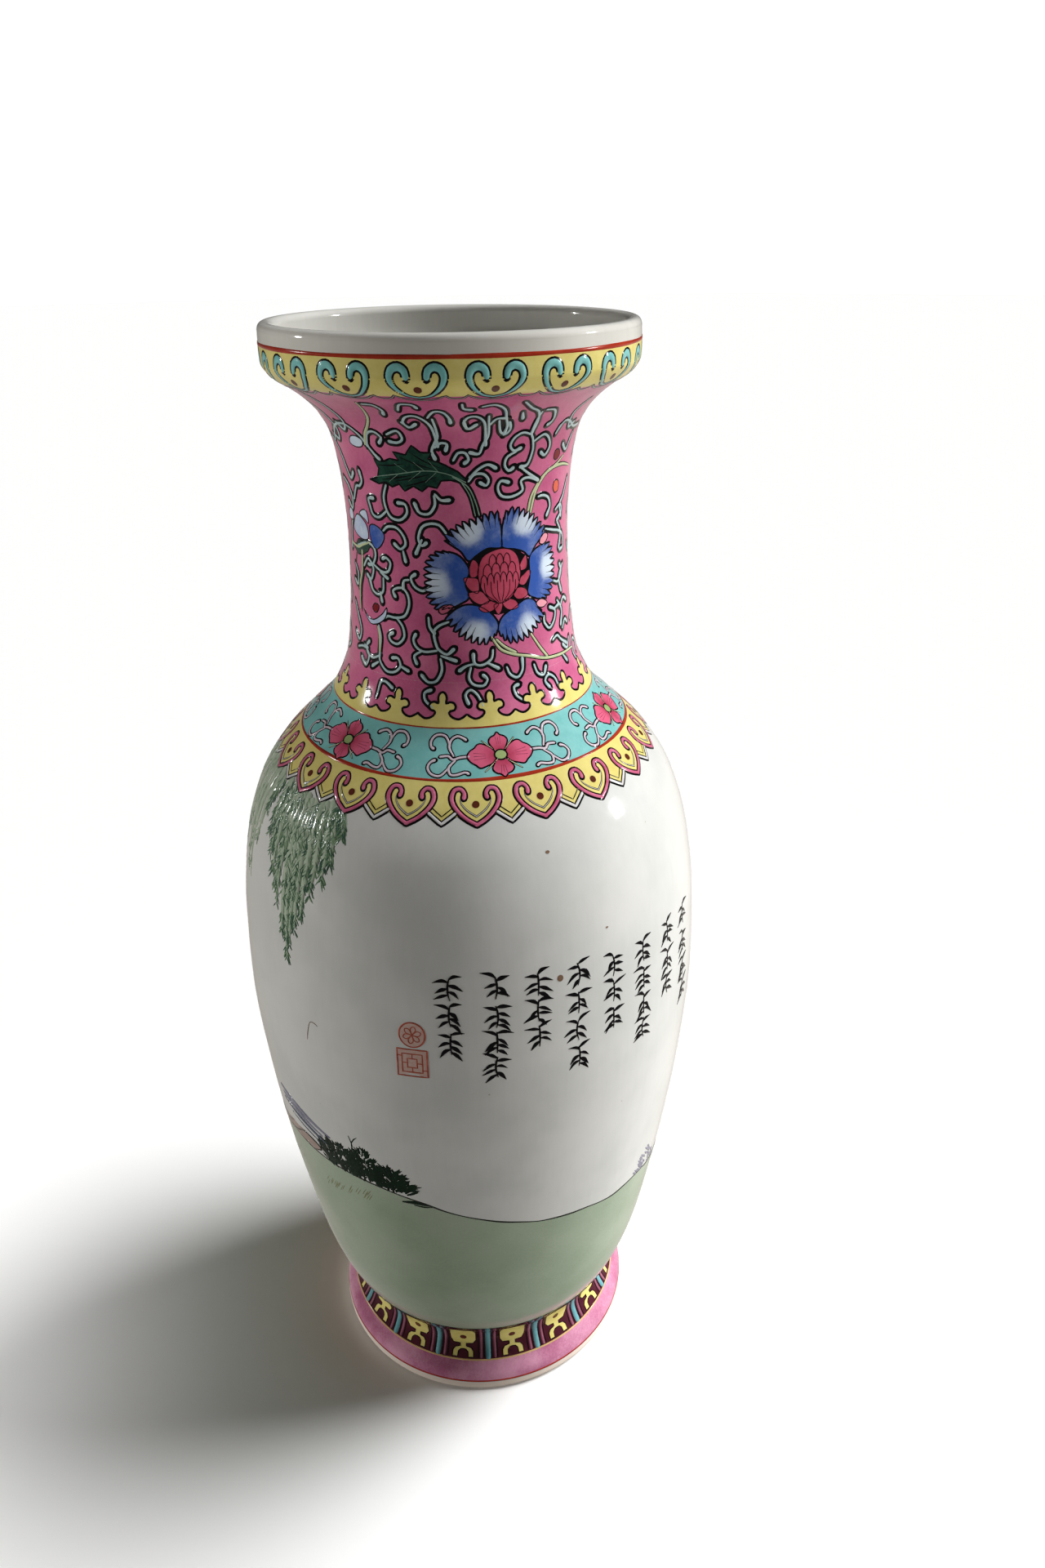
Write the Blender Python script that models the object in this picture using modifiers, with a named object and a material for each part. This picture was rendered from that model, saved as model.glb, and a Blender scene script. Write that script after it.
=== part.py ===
"""Baluster vase of thrown porcelain: five turned sections luted together with slip.

Everything stands on Z = 0 with the turning axis on Z. Lengths are metres.
"""
import math

import bpy

# ---------------------------------------------------------------- driving sizes
# Heights, each measured up from the one before it.
FOOT_HEIGHT = 0.0235    # floor to the waist above the foot
BELLY_RISE = 0.1812     # waist to the belly
SHOULDER_RISE = 0.1380  # belly to the root of the neck
NECK_RISE = 0.0483      # root of the neck to the throat
COLLAR_RISE = 0.0276    # throat to where the mouth starts to flare
FLARE_RISE = 0.0290     # the flare under the mouth
BAND_RISE = 0.0124      # upright band of the mouth

# Outer radii at those heights.
FOOT_RADIUS = 0.0704
WAIST_RADIUS = 0.0616
BELLY_RADIUS = 0.0953
ROOT_RADIUS = 0.0442
THROAT_RADIUS = 0.0403
COLLAR_RADIUS = 0.0427
MOUTH_RADIUS = 0.0653

WALL = 0.0052           # wall of the thrown sections, measured square to the surface
FOOT_WALL = 0.0085      # the turned foot ring is left thicker than the body
FLOOR = 0.0080          # thickness of the floor of the body
LAP = 0.0060            # height of the step that one section stands in the next with
SPIGOT = 0.0050         # depth that the body's base sits down into the foot ring
SLIP = 0.0006           # layer of slip between two sections
GAP = 0.0003            # clearance on each side of the slip
FOOT_EDGE = 0.0012      # softened corners of the foot ring
LIP_SOFT = 0.0023       # rounding of the lip's two edges
FLOOR_HOLLOW = 0.0180   # height over which the floor turns up into the wall
TURNS = 48              # facets round the axis

# The turner's template, one stretch between two named radii at a time. Each bend is a share
# of the stretch's height and a share of the way from its lower radius to its upper one.
Z_FOOT = FOOT_HEIGHT
Z_BELLY = Z_FOOT + BELLY_RISE
Z_NECK = Z_BELLY + SHOULDER_RISE
Z_THROAT = Z_NECK + NECK_RISE
Z_MOUTH = Z_THROAT + COLLAR_RISE
Z_BAND = Z_MOUTH + FLARE_RISE
HEIGHT = Z_BAND + BAND_RISE

FOOT_BENDS = ((0.00, 0.14), (0.12, 0.00), (0.26, 0.03), (0.39, 0.11), (0.59, 0.47), (0.78, 0.81))
SWELL_BENDS = (
    (0.00, 0.00), (0.03, 0.03), (0.063, 0.136), (0.104, 0.249), (0.162, 0.367),
    (0.25, 0.497), (0.38, 0.63), (0.58, 0.802), (0.78, 0.927),
)
SHOULDER_BENDS = (
    (0.00, 0.00), (0.25, 0.024), (0.45, 0.095), (0.617, 0.233), (0.733, 0.433),
    (0.817, 0.659), (0.883, 0.843), (0.933, 0.927),
)
NECK_BENDS = ((0.00, 0.00), (0.24, 0.49), (0.62, 0.88))
COLLAR_BENDS = ((0.00, 0.00), (0.58, 0.36))
FLARE_BENDS = (
    (0.00, 0.00), (0.24, 0.08), (0.444, 0.224), (0.603, 0.414), (0.73, 0.624), (0.865, 0.89),
)
BAND_BENDS = ((0.00, 0.992), (0.44, 1.00), (1.00, 0.992))


def stretch(low, high, start, stop, bends):
    """Stations of one stretch: its bends between two heights and two radii."""
    return [(low + (high - low) * up, start + (stop - start) * out) for up, out in bends]


TEMPLATE = (
    stretch(0.0, Z_FOOT, FOOT_RADIUS, WAIST_RADIUS, FOOT_BENDS)
    + stretch(Z_FOOT, Z_BELLY, WAIST_RADIUS, BELLY_RADIUS, SWELL_BENDS)
    + stretch(Z_BELLY, Z_NECK, BELLY_RADIUS, ROOT_RADIUS, SHOULDER_BENDS)
    + stretch(Z_NECK, Z_THROAT, ROOT_RADIUS, THROAT_RADIUS, NECK_BENDS)
    + stretch(Z_THROAT, Z_MOUTH, THROAT_RADIUS, COLLAR_RADIUS, COLLAR_BENDS)
    + stretch(Z_MOUTH, Z_BAND, COLLAR_RADIUS, MOUTH_RADIUS, FLARE_BENDS)
    + stretch(Z_BAND, HEIGHT, COLLAR_RADIUS, MOUTH_RADIUS, BAND_BENDS)
)
TZ = [height for height, _ in TEMPLATE]
TR = [radius for _, radius in TEMPLATE]


# ---------------------------------------------------------------- the template
def end_slopes():
    """Slopes at the template's stations that never overshoot between them."""
    step = [b - a for a, b in zip(TZ, TZ[1:])]
    rise = [(b - a) / h for a, b, h in zip(TR, TR[1:], step)]
    slopes = [rise[0]]
    for i in range(1, len(TZ) - 1):
        below, above = rise[i - 1], rise[i]
        if below * above <= 0.0:
            slopes.append(0.0)
            continue
        w1 = 2.0 * step[i] + step[i - 1]
        w2 = step[i] + 2.0 * step[i - 1]
        slopes.append((w1 + w2) / (w1 / below + w2 / above))
    slopes.append(0.0)
    return slopes


TS = end_slopes()


def outside(z):
    """Outer radius and its slope at height z."""
    z = min(max(z, TZ[0]), TZ[-1])
    i = 0
    while i < len(TZ) - 2 and z > TZ[i + 1]:
        i += 1
    h = TZ[i + 1] - TZ[i]
    t = (z - TZ[i]) / h
    radius = ((2 * t ** 3 - 3 * t ** 2 + 1) * TR[i] + (t ** 3 - 2 * t ** 2 + t) * h * TS[i]
              + (3 * t ** 2 - 2 * t ** 3) * TR[i + 1] + (t ** 3 - t ** 2) * h * TS[i + 1])
    slope = (((6 * t ** 2 - 6 * t) * TR[i] + (6 * t - 6 * t ** 2) * TR[i + 1]) / h
             + (3 * t ** 2 - 4 * t + 1) * TS[i] + (3 * t ** 2 - 2 * t) * TS[i + 1])
    return radius, slope


def outer(z):
    return outside(z)[0]


def inner(z, wall=WALL):
    """Inner radius at height z for a wall of even thickness."""
    radius, slope = outside(z)
    return radius - wall * math.sqrt(1.0 + slope * slope)


def middle(z, wall=WALL):
    """Radius half way through the wall, where the step of a joint runs."""
    return 0.5 * (outer(z) + inner(z, wall))


def heights(low, high, count):
    """count + 1 even heights from low to high."""
    return [low + (high - low) * i / count for i in range(count + 1)]


def arc(centre, radius, start, stop, count):
    """Points of a rounded corner in (radius, height), angles in degrees from outward."""
    points = []
    for i in range(count + 1):
        angle = math.radians(start + (stop - start) * i / count)
        points.append((centre[0] + radius * math.cos(angle), centre[1] + radius * math.sin(angle)))
    return points


# ---------------------------------------------------------------- workshop
for old in list(bpy.data.objects):
    bpy.data.objects.remove(old, do_unlink=True)

VASE = bpy.data.collections.new("porcelain_vase")
bpy.context.scene.collection.children.link(VASE)


def material(name, colour, roughness):
    mat = bpy.data.materials.new(name)
    mat.use_nodes = True
    shader = mat.node_tree.nodes["Principled BSDF"]
    shader.inputs["Base Color"].default_value = (colour[0], colour[1], colour[2], 1.0)
    shader.inputs["Roughness"].default_value = roughness
    shader.inputs["Metallic"].default_value = 0.0
    return mat


def turned(name, profile, mat, closed=True):
    """A turned piece: the profile runs down its outer side and back up the inner one."""
    mesh = bpy.data.meshes.new(name)
    count = len(profile)
    edges = [(i, i + 1) for i in range(count - 1)]
    if closed:
        edges.append((count - 1, 0))
    mesh.from_pydata([(r, 0.0, z) for r, z in profile], edges, [])
    piece = bpy.data.objects.new(name, mesh)
    VASE.objects.link(piece)
    screw = piece.modifiers.new("Turning", "SCREW")
    screw.axis = "Z"
    screw.angle = 2.0 * math.pi
    screw.steps = TURNS
    screw.render_steps = TURNS
    screw.use_merge_vertices = True
    screw.merge_threshold = 0.0001
    screw.use_smooth_shade = True
    mesh.materials.append(mat)
    return piece


def step_up(z, wall=WALL):
    """Top edge of a lower section, from its outside inward: a ledge, then a tongue."""
    shy = 0.5 * SLIP + GAP
    return [
        (outer(z), z),
        (middle(z, wall) - shy, z),
        (middle(z + LAP, wall) - shy, z + LAP),
        (inner(z + LAP, wall), z + LAP),
    ]


def step_down(z, wall=WALL):
    """Bottom edge of an upper section, from its inside outward, fitting step_up."""
    shy = 0.5 * SLIP + GAP
    lift = SLIP + 2.0 * GAP
    return [
        (inner(z + LAP + lift, wall), z + LAP + lift),
        (middle(z + LAP + lift, wall) + shy, z + LAP + lift),
        (middle(z + lift, wall) + shy, z + lift),
        (outer(z + lift), z + lift),
    ]


def slip_seam(name, z, mat, wall=WALL):
    """Slip squeezed through the stepped joint at height z: out, up and in again."""
    low = z + GAP
    high = z + LAP + GAP
    thick = SLIP
    half = 0.5 * SLIP
    profile = [
        (outer(low) - GAP, low + thick),
        (outer(low) - GAP, low),
        (middle(low, wall) - half, low),
        (middle(high, wall) - half, high),
        (inner(high, wall) + GAP, high),
        (inner(high, wall) + GAP, high + thick),
        (middle(high + thick, wall) + half, high + thick),
        (middle(low + thick, wall) + half, low + thick),
    ]
    return turned(name, profile, mat)


GLAZED_WHITE = (0.80, 0.81, 0.80)
PINK_FOOT = material("foot_enamel", (0.42, 0.17, 0.24), 0.25)
BODY_LOW = material("lower_glaze", GLAZED_WHITE, 0.14)
BODY_HIGH = material("upper_glaze", (0.82, 0.83, 0.82), 0.14)
NECK_PINK = material("neck_enamel", (0.50, 0.13, 0.25), 0.24)
MOUTH_GLAZE = material("mouth_glaze", (0.70, 0.71, 0.66), 0.12)
BISCUIT = material("slip", (0.78, 0.75, 0.70), 0.85)

LIFT = SLIP + 2.0 * GAP
SHY = 0.5 * SLIP + GAP

# ---------------------------------------------------------------- foot ring
# A ring thrown and turned by itself. Its top edge has an outer collar that the body's base
# sits down into, and a ledge inside the collar that carries it.
shelf = Z_FOOT - SPIGOT
collar = middle(Z_FOOT)
edge = FOOT_EDGE
foot = [(outer(Z_FOOT), Z_FOOT)]
for z in reversed(heights(2.0 * edge, Z_FOOT, 9)[:-1]):
    foot.append((outer(z), z))
foot += [
    (outer(0.0) - 0.3 * edge, 0.6 * edge),
    (outer(0.0) - edge, 0.0),
    (outer(0.0) - FOOT_WALL + edge, 0.0),
    (outer(0.0) - FOOT_WALL, edge),
]
for z in heights(4.0 * edge, shelf, 4)[:-1]:
    foot.append((outer(z) - FOOT_WALL, z))
foot += [
    (outer(shelf) - FOOT_WALL, shelf),
    (collar + SHY, shelf),
    (collar + SHY, Z_FOOT),
]
turned("foot_ring", foot, PINK_FOOT)

# ---------------------------------------------------------------- slip under the body
low = shelf + GAP
rise = Z_FOOT + GAP
turned("foot_slip_seam", [
    (outer(rise) - GAP, rise + SLIP),
    (outer(rise) - GAP, rise),
    (collar + 0.5 * SLIP, rise),
    (collar + 0.5 * SLIP, low),
    (outer(shelf) - FOOT_WALL + GAP, low),
    (outer(shelf) - FOOT_WALL + GAP, low + SLIP),
    (collar - 0.5 * SLIP, low + SLIP),
    (collar - 0.5 * SLIP, rise + SLIP),
], BISCUIT)

# ---------------------------------------------------------------- lower body
# The bowl of the body with its floor. The base is a plug that fits the foot ring's collar,
# and the rim at the belly carries the tongue of the belly joint.
base = shelf + LIFT
floor_top = base + FLOOR
bowl = list(reversed(step_up(Z_BELLY)))
for z in reversed(heights(Z_FOOT + LIFT, Z_BELLY, 13)[:-1]):
    bowl.append((outer(z), z))
bowl += [
    (collar - SHY, Z_FOOT + LIFT),
    (collar - SHY, base),
    (0.0, base),
    (0.0, floor_top),
]
first = floor_top + FLOOR_HOLLOW
bowl += [
    (0.62 * inner(first), floor_top + 0.03 * FLOOR_HOLLOW),
    (0.84 * inner(first), floor_top + 0.20 * FLOOR_HOLLOW),
    (0.96 * inner(first), floor_top + 0.50 * FLOOR_HOLLOW),
]
for z in heights(first, Z_BELLY, 9)[:-1]:
    bowl.append((inner(z), z))
# Start on the axis so the turning closes the floor above and below.
start = bowl.index((0.0, floor_top))
turned("lower_body", bowl[start:] + bowl[:start], BODY_LOW, closed=False)

# ---------------------------------------------------------------- belly joint
slip_seam("belly_slip_seam", Z_BELLY, BISCUIT)

# ---------------------------------------------------------------- upper body
shoulder = list(reversed(step_up(Z_NECK)))
for z in reversed(heights(Z_BELLY + LIFT, Z_NECK, 16)[1:-1]):
    shoulder.append((outer(z), z))
shoulder += list(reversed(step_down(Z_BELLY)))
for z in heights(Z_BELLY + LAP + LIFT, Z_NECK + LAP, 14)[1:-1]:
    shoulder.append((inner(z), z))
turned("upper_body", shoulder, BODY_HIGH)

# ---------------------------------------------------------------- neck joint
slip_seam("shoulder_slip_seam", Z_NECK, BISCUIT)

# ---------------------------------------------------------------- neck
neck = list(reversed(step_up(Z_MOUTH)))
for z in reversed(heights(Z_NECK + LIFT, Z_MOUTH, 9)[1:-1]):
    neck.append((outer(z), z))
neck += list(reversed(step_down(Z_NECK)))
for z in heights(Z_NECK + LAP + LIFT, Z_MOUTH + LAP, 8)[1:-1]:
    neck.append((inner(z), z))
turned("neck", neck, NECK_PINK)

# ---------------------------------------------------------------- mouth joint
slip_seam("mouth_slip_seam", Z_MOUTH, BISCUIT)

# ---------------------------------------------------------------- mouth
# A dished mouth: the wall flares out from the neck, turns up into a short upright band and
# ends in a soft lip. Inside it is a shallow dish that falls to the throat.
def flare(share):
    """Height at a share of the way up the flare, where 1 is the foot of the band."""
    return Z_MOUTH + share * FLARE_RISE


lip_in = outer(HEIGHT) - WALL
mouth = arc((outer(HEIGHT) - LIP_SOFT, HEIGHT - LIP_SOFT), LIP_SOFT, 90.0, 0.0, 3)
mouth.append((outer(Z_BAND + 0.5 * BAND_RISE), Z_BAND + 0.5 * BAND_RISE))
for share in (1.12, 1.00, 0.94, 0.865, 0.80, 0.73, 0.66, 0.58, 0.48, 0.36, 0.24, 0.12):
    mouth.append((outer(flare(share)), flare(share)))
mouth += list(reversed(step_down(Z_MOUTH)))
for share in (0.36, 0.46, 0.55, 0.64, 0.74, 0.84):
    mouth.append((inner(flare(share)), flare(share)))
mouth += [
    (lip_in - 0.25 * WALL, Z_BAND),
    (lip_in, Z_BAND + 0.28 * BAND_RISE),
]
mouth += arc((lip_in + LIP_SOFT, HEIGHT - LIP_SOFT), LIP_SOFT, 180.0, 90.0, 3)
turned("mouth", mouth, MOUTH_GLAZE)
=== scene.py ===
"""Baluster vase of thrown porcelain, glazed, and painted over the glaze in famille-rose enamels.

Where something is painted on the vase is given by an angle in degrees from its front, growing to
the right, and a height in millimetres above the floor. The widths and thicknesses of the painting
are in millimetres too. Everything else is in metres.
"""
import math
import random

import bpy
from mathutils import Matrix, Vector, geometry


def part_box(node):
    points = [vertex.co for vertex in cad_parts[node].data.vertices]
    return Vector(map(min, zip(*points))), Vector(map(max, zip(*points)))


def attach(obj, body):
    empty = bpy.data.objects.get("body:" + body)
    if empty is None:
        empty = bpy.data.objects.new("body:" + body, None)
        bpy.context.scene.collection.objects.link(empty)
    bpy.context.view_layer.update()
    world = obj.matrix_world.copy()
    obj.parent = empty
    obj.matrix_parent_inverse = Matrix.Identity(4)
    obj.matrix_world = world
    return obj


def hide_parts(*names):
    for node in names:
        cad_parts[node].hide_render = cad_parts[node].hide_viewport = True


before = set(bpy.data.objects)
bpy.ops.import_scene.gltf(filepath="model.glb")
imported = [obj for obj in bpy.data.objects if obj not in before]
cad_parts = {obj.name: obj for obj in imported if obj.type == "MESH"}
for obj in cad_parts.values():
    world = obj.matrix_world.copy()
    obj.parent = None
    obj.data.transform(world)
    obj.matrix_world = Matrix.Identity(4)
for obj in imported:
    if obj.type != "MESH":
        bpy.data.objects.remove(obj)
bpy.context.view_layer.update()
MM = 0.001

# ------------------------------------------------------------------ Foot ring
# The splayed ring that the vase stands on, thrown and turned by itself from the same white
# porcelain. It is glazed all over but for the edge it stands on, which is left bare.
FOOT_BENDS = ((0.00, 0.14), (0.12, 0.00), (0.26, 0.03), (0.39, 0.11), (0.59, 0.47), (0.78, 0.81))
SWELL_BENDS = (
    (0.00, 0.00), (0.03, 0.03), (0.063, 0.136), (0.104, 0.249), (0.162, 0.367),
    (0.25, 0.497), (0.38, 0.63), (0.58, 0.802), (0.78, 0.927),
)
SHOULDER_BENDS = (
    (0.00, 0.00), (0.25, 0.024), (0.45, 0.095), (0.617, 0.233), (0.733, 0.433),
    (0.817, 0.659), (0.883, 0.843), (0.933, 0.927),
)
NECK_BENDS = ((0.00, 0.00), (0.24, 0.49), (0.62, 0.88))
COLLAR_BENDS = ((0.00, 0.00), (0.58, 0.36))
FLARE_BENDS = (
    (0.00, 0.00), (0.24, 0.08), (0.444, 0.224), (0.603, 0.414), (0.73, 0.624), (0.865, 0.89),
)
BAND_BENDS = ((0.00, 0.992), (0.44, 1.00), (1.00, 0.992))

GAP = 0.0003
WALL = 0.0052
FOOT_WALL = 0.0085
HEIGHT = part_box("mouth")[1].z
FOOT_RADIUS = 0.0704
WAIST_RADIUS = 0.0616
BELLY_RADIUS = 0.0953
ROOT_RADIUS = 0.0442
THROAT_RADIUS = 0.0403
COLLAR_RADIUS = 0.0427
MOUTH_RADIUS = 0.0653
Z_FOOT = 0.0235
Z_BELLY = 0.2047
Z_NECK = 0.3427
Z_THROAT = 0.3910
Z_MOUTH = 0.4186
Z_BAND = 0.4476
BAND_RISE = HEIGHT - Z_BAND
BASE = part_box("lower_body")[0].z
FLOOR = 0.0080


def stretch(low, high, start, stop, bends):
    """Stations of one stretch of the outside, between two heights and two radii."""
    return [(low + (high - low) * up, start + (stop - start) * out) for up, out in bends]


template = (
    stretch(0.0, Z_FOOT, FOOT_RADIUS, WAIST_RADIUS, FOOT_BENDS)
    + stretch(Z_FOOT, Z_BELLY, WAIST_RADIUS, BELLY_RADIUS, SWELL_BENDS)
    + stretch(Z_BELLY, Z_NECK, BELLY_RADIUS, ROOT_RADIUS, SHOULDER_BENDS)
    + stretch(Z_NECK, Z_THROAT, ROOT_RADIUS, THROAT_RADIUS, NECK_BENDS)
    + stretch(Z_THROAT, Z_MOUTH, THROAT_RADIUS, COLLAR_RADIUS, COLLAR_BENDS)
    + stretch(Z_MOUTH, Z_BAND, COLLAR_RADIUS, MOUTH_RADIUS, FLARE_BENDS)
    + stretch(Z_BAND, HEIGHT, COLLAR_RADIUS, MOUTH_RADIUS, BAND_BENDS)
)
TZ = [height for height, _ in template]
TR = [radius for _, radius in template]


def end_slopes():
    """Slopes at the stations that never overshoot between them."""
    step = [b - a for a, b in zip(TZ, TZ[1:])]
    rise = [(b - a) / h for a, b, h in zip(TR, TR[1:], step)]
    slopes = [rise[0]]
    for i in range(1, len(TZ) - 1):
        below, above = rise[i - 1], rise[i]
        if below * above <= 0.0:
            slopes.append(0.0)
            continue
        w1 = 2.0 * step[i] + step[i - 1]
        w2 = step[i] + 2.0 * step[i - 1]
        slopes.append((w1 + w2) / (w1 / below + w2 / above))
    slopes.append(0.0)
    return slopes


TS = end_slopes()


def outside(z):
    """Outer radius and its slope at height z."""
    z = min(max(z, 0.0), HEIGHT)
    i = 0
    while i < len(TZ) - 2 and z > TZ[i + 1]:
        i += 1
    h = TZ[i + 1] - TZ[i]
    t = (z - TZ[i]) / h
    radius = ((2 * t ** 3 - 3 * t ** 2 + 1) * TR[i] + (t ** 3 - 2 * t ** 2 + t) * h * TS[i]
              + (3 * t ** 2 - 2 * t ** 3) * TR[i + 1] + (t ** 3 - t ** 2) * h * TS[i + 1])
    slope = (((6 * t ** 2 - 6 * t) * TR[i] + (6 * t - 6 * t ** 2) * TR[i + 1]) / h
             + (3 * t ** 2 - 4 * t + 1) * TS[i] + (3 * t ** 2 - 2 * t) * TS[i + 1])
    return radius, slope


# The outside is read many thousand times over, so it is laid out once every tenth of a
# millimetre and read from there.
GAUGE_STEP = 0.1 * MM
gauge = [outside(i * GAUGE_STEP) for i in range(int(HEIGHT / GAUGE_STEP) + 3)]


def wall_at(mm):
    """Outer radius and slope at a height in millimetres."""
    place = min(max(mm * MM / GAUGE_STEP, 0.0), len(gauge) - 2.001)
    i = int(place)
    t = place - i
    low, high = gauge[i], gauge[i + 1]
    return low[0] + (high[0] - low[0]) * t, low[1] + (high[1] - low[1]) * t


def outer(z):
    """Outer radius at a height in metres."""
    return wall_at(z / MM)[0]


def inner(z):
    """Inner radius at a height in metres, one wall away from the outside, square to it."""
    radius, slope = wall_at(z / MM)
    return radius - WALL * math.sqrt(1.0 + slope * slope)


def heights(low, high, count):
    """Evenly spaced heights, both ends among them."""
    return [low + (high - low) * i / count for i in range(count + 1)]


SINK = 0.00027   # the glaze lies this much inside the turned size, which is room for the enamel
TURNS = 216


def run_normals(run, kind):
    """Normals along one smooth run of an outline; the outer skin's come from the form itself."""
    normals = []
    for i, (radius, z) in enumerate(run):
        if kind == "outer":
            slope = wall_at(z / MM)[1]
            normals.append(Vector((1.0, -slope)).normalized())
            continue
        before, after = run[max(i - 1, 0)], run[min(i + 1, len(run) - 1)]
        along = Vector((after[0] - before[0], after[1] - before[1]))
        normals.append(Vector((-along.y, along.x)).normalized())
    return normals


def turned(name, runs, paint, node):
    """Turns an outline into a section. The runs go down the outside and back up the inside;
    each is smooth in itself and meets the next at a crisp edge."""
    points, corners, normals = [], [], []
    for kind, run in runs:
        start = len(points)
        points += run
        turned_normals = run_normals(run, kind)
        for i in range(len(run) - 1):
            corners.append((start + i, start + i + 1))
            normals.append((turned_normals[i], turned_normals[i + 1]))
    verts, faces, loop_normals = [], [], []
    for k in range(TURNS):
        angle = 2.0 * math.pi * k / TURNS
        c, s = math.cos(angle), math.sin(angle)
        verts += [(r * c, r * s, z) for r, z in points]
    count = len(points)
    for k in range(TURNS):
        here, there = k * count, ((k + 1) % TURNS) * count
        a0 = 2.0 * math.pi * k / TURNS
        a1 = 2.0 * math.pi * (k + 1) / TURNS
        for (i, j), (ni, nj) in zip(corners, normals):
            quad = [(here + i, ni, a0), (here + j, nj, a0), (there + j, nj, a1), (there + i, ni, a1)]
            if points[j][0] < 1e-7:
                quad = [quad[0], quad[1], quad[3]]
            elif points[i][0] < 1e-7:
                quad = [quad[0], quad[1], quad[2]]
            faces.append([v for v, _, _ in quad])
            loop_normals += [(n.x * math.cos(a), n.x * math.sin(a), n.y) for _, n, a in quad]
    mesh = bpy.data.meshes.new(name)
    mesh.from_pydata(verts, [], faces)
    mesh.polygons.foreach_set("use_smooth", [True] * len(faces))
    mesh.normals_split_custom_set(loop_normals)
    mesh.materials.append(paint)
    mesh.validate(clean_customdata=False)
    mesh.update()
    piece = bpy.data.objects.new(name, mesh)
    bpy.context.scene.collection.objects.link(piece)
    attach(piece, "root")
    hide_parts(node)
    return piece


class Wire:
    """One socket of a glaze or enamel recipe, so that sums on it can be written as sums."""

    def __init__(self, bench, socket):
        self.bench = bench
        self.socket = socket

    def sum(self, operation, first, second):
        return self.bench.add("ShaderNodeMath", {"operation": operation}, {0: first, 1: second})

    def __add__(self, other):
        return self.sum("ADD", self, other)

    def __sub__(self, other):
        return self.sum("SUBTRACT", self, other)

    def __rsub__(self, other):
        return self.sum("SUBTRACT", other, self)

    def __mul__(self, other):
        return self.sum("MULTIPLY", self, other)

    def __truediv__(self, other):
        return self.sum("DIVIDE", self, other)

    def __gt__(self, other):
        return self.sum("GREATER_THAN", self, other)

    __radd__ = __add__
    __rmul__ = __mul__


class Bench:
    """Where one glaze or enamel is mixed: a material, its shader and the nodes behind it."""

    def __init__(self, name, kept_in="materials", shader="Principled BSDF"):
        self.paint = getattr(bpy.data, kept_in).new(name)
        self.paint.use_nodes = True
        self.tree = self.paint.node_tree
        self.shader = self.tree.nodes[shader]

    def add(self, kind, settings=None, sockets=None, out=0):
        node = self.tree.nodes.new(kind)
        for key, value in (settings or {}).items():
            setattr(node, key, value)
        for key, value in (sockets or {}).items():
            self.feed(node.inputs[key], value)
        return Wire(self, node.outputs[out])

    def feed(self, socket, value):
        if isinstance(value, Wire):
            self.tree.links.new(value.socket, socket)
        elif socket.type == "RGBA" and len(value) == 3:
            socket.default_value = (*value, 1.0)
        else:
            socket.default_value = value

    def set(self, **values):
        for key, value in values.items():
            self.feed(self.shader.inputs[key.replace("_", " ")], value)

    def place(self, kind="Object"):
        return self.add("ShaderNodeTexCoord", None, None, kind)

    def cloud(self, where, scale, detail=3.0):
        return self.add("ShaderNodeTexNoise", None,
                        {"Vector": where, "Scale": scale, "Detail": detail, "Roughness": 0.55})

    def blend(self, amount, first, second):
        return self.add("ShaderNodeMix", {"data_type": "RGBA"}, {0: amount, 6: first, 7: second}, 2)

    def between(self, value, low, high, start=0.0, stop=1.0):
        return self.add("ShaderNodeMapRange", {"interpolation_type": "SMOOTHSTEP"},
                        {"Value": value, "From Min": low, "From Max": high, "To Min": start, "To Max": stop})

    def stretched(self, where, x, y, z):
        return self.add("ShaderNodeVectorMath", {"operation": "MULTIPLY"}, {0: where, 1: (x, y, z)})

    def height(self, where, axis=2):
        return self.add("ShaderNodeSeparateXYZ", None, {0: where}, axis)

    def bump(self, height, distance, strength=1.0):
        return self.add("ShaderNodeBump", None,
                        {"Height": height, "Distance": distance, "Strength": strength})


def srgb(red, green, blue):
    """A colour given on the 0 to 255 scale, as the linear light that the shader wants."""
    def line(v):
        v = v / 255.0
        return v / 12.92 if v <= 0.04045 else ((v + 0.055) / 1.055) ** 2.4
    return (line(red), line(green), line(blue))


BODY_WHITE = srgb(214, 215, 213)
BODY_SHADE = srgb(203, 205, 203)
BISCUIT = srgb(222, 208, 196)
BARE_EDGE = (0.0044, 0.0054)   # the glaze is wiped off below here and fades out in between
SKIN_DEPTH = 0.00022           # how far the fired skin swells and dips
SKIN_SHARE = 0.55


def glaze(name, light, dark, roughness=0.07, streak=0.12):
    """Clear glaze over a colour: faint clouds, turning streaks, pinholes, and a softly dimpled skin."""
    bench = Bench(name)
    where = bench.place()
    cloud = bench.cloud(where, 22.0)
    streaks = bench.cloud(bench.stretched(where, 1.0, 1.0, 0.12), 420.0, 2.0)
    amount = bench.between(cloud * (1.0 - streak) + streaks * streak, 0.35, 0.65)
    colour = bench.blend(amount, light, dark)
    pinholes = bench.add("ShaderNodeTexVoronoi", None, {"Vector": where, "Scale": 95.0})
    dots = bench.between(pinholes, 0.020, 0.045, 1.0, 0.0)
    rare = bench.cloud(where, 30.0, 0.0) > 0.60
    speck = dots * rare
    colour = bench.blend(speck * 0.55, colour, srgb(120, 96, 74))
    bare = bench.between(bench.height(where), *BARE_EDGE, 1.0, 0.0)
    colour = bench.blend(bare, colour, BISCUIT)
    dimples = bench.cloud(where, 260.0, 2.0)
    swell = bench.cloud(where, 45.0, 1.0)
    skin = dimples * 0.25 + swell + streaks * 0.12 - speck * 0.3
    bench.set(Base_Color=colour, Roughness=roughness + bare * 0.5 + dimples * 0.04,
              Normal=bench.bump(skin, SKIN_DEPTH, SKIN_SHARE))
    return bench.paint


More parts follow.
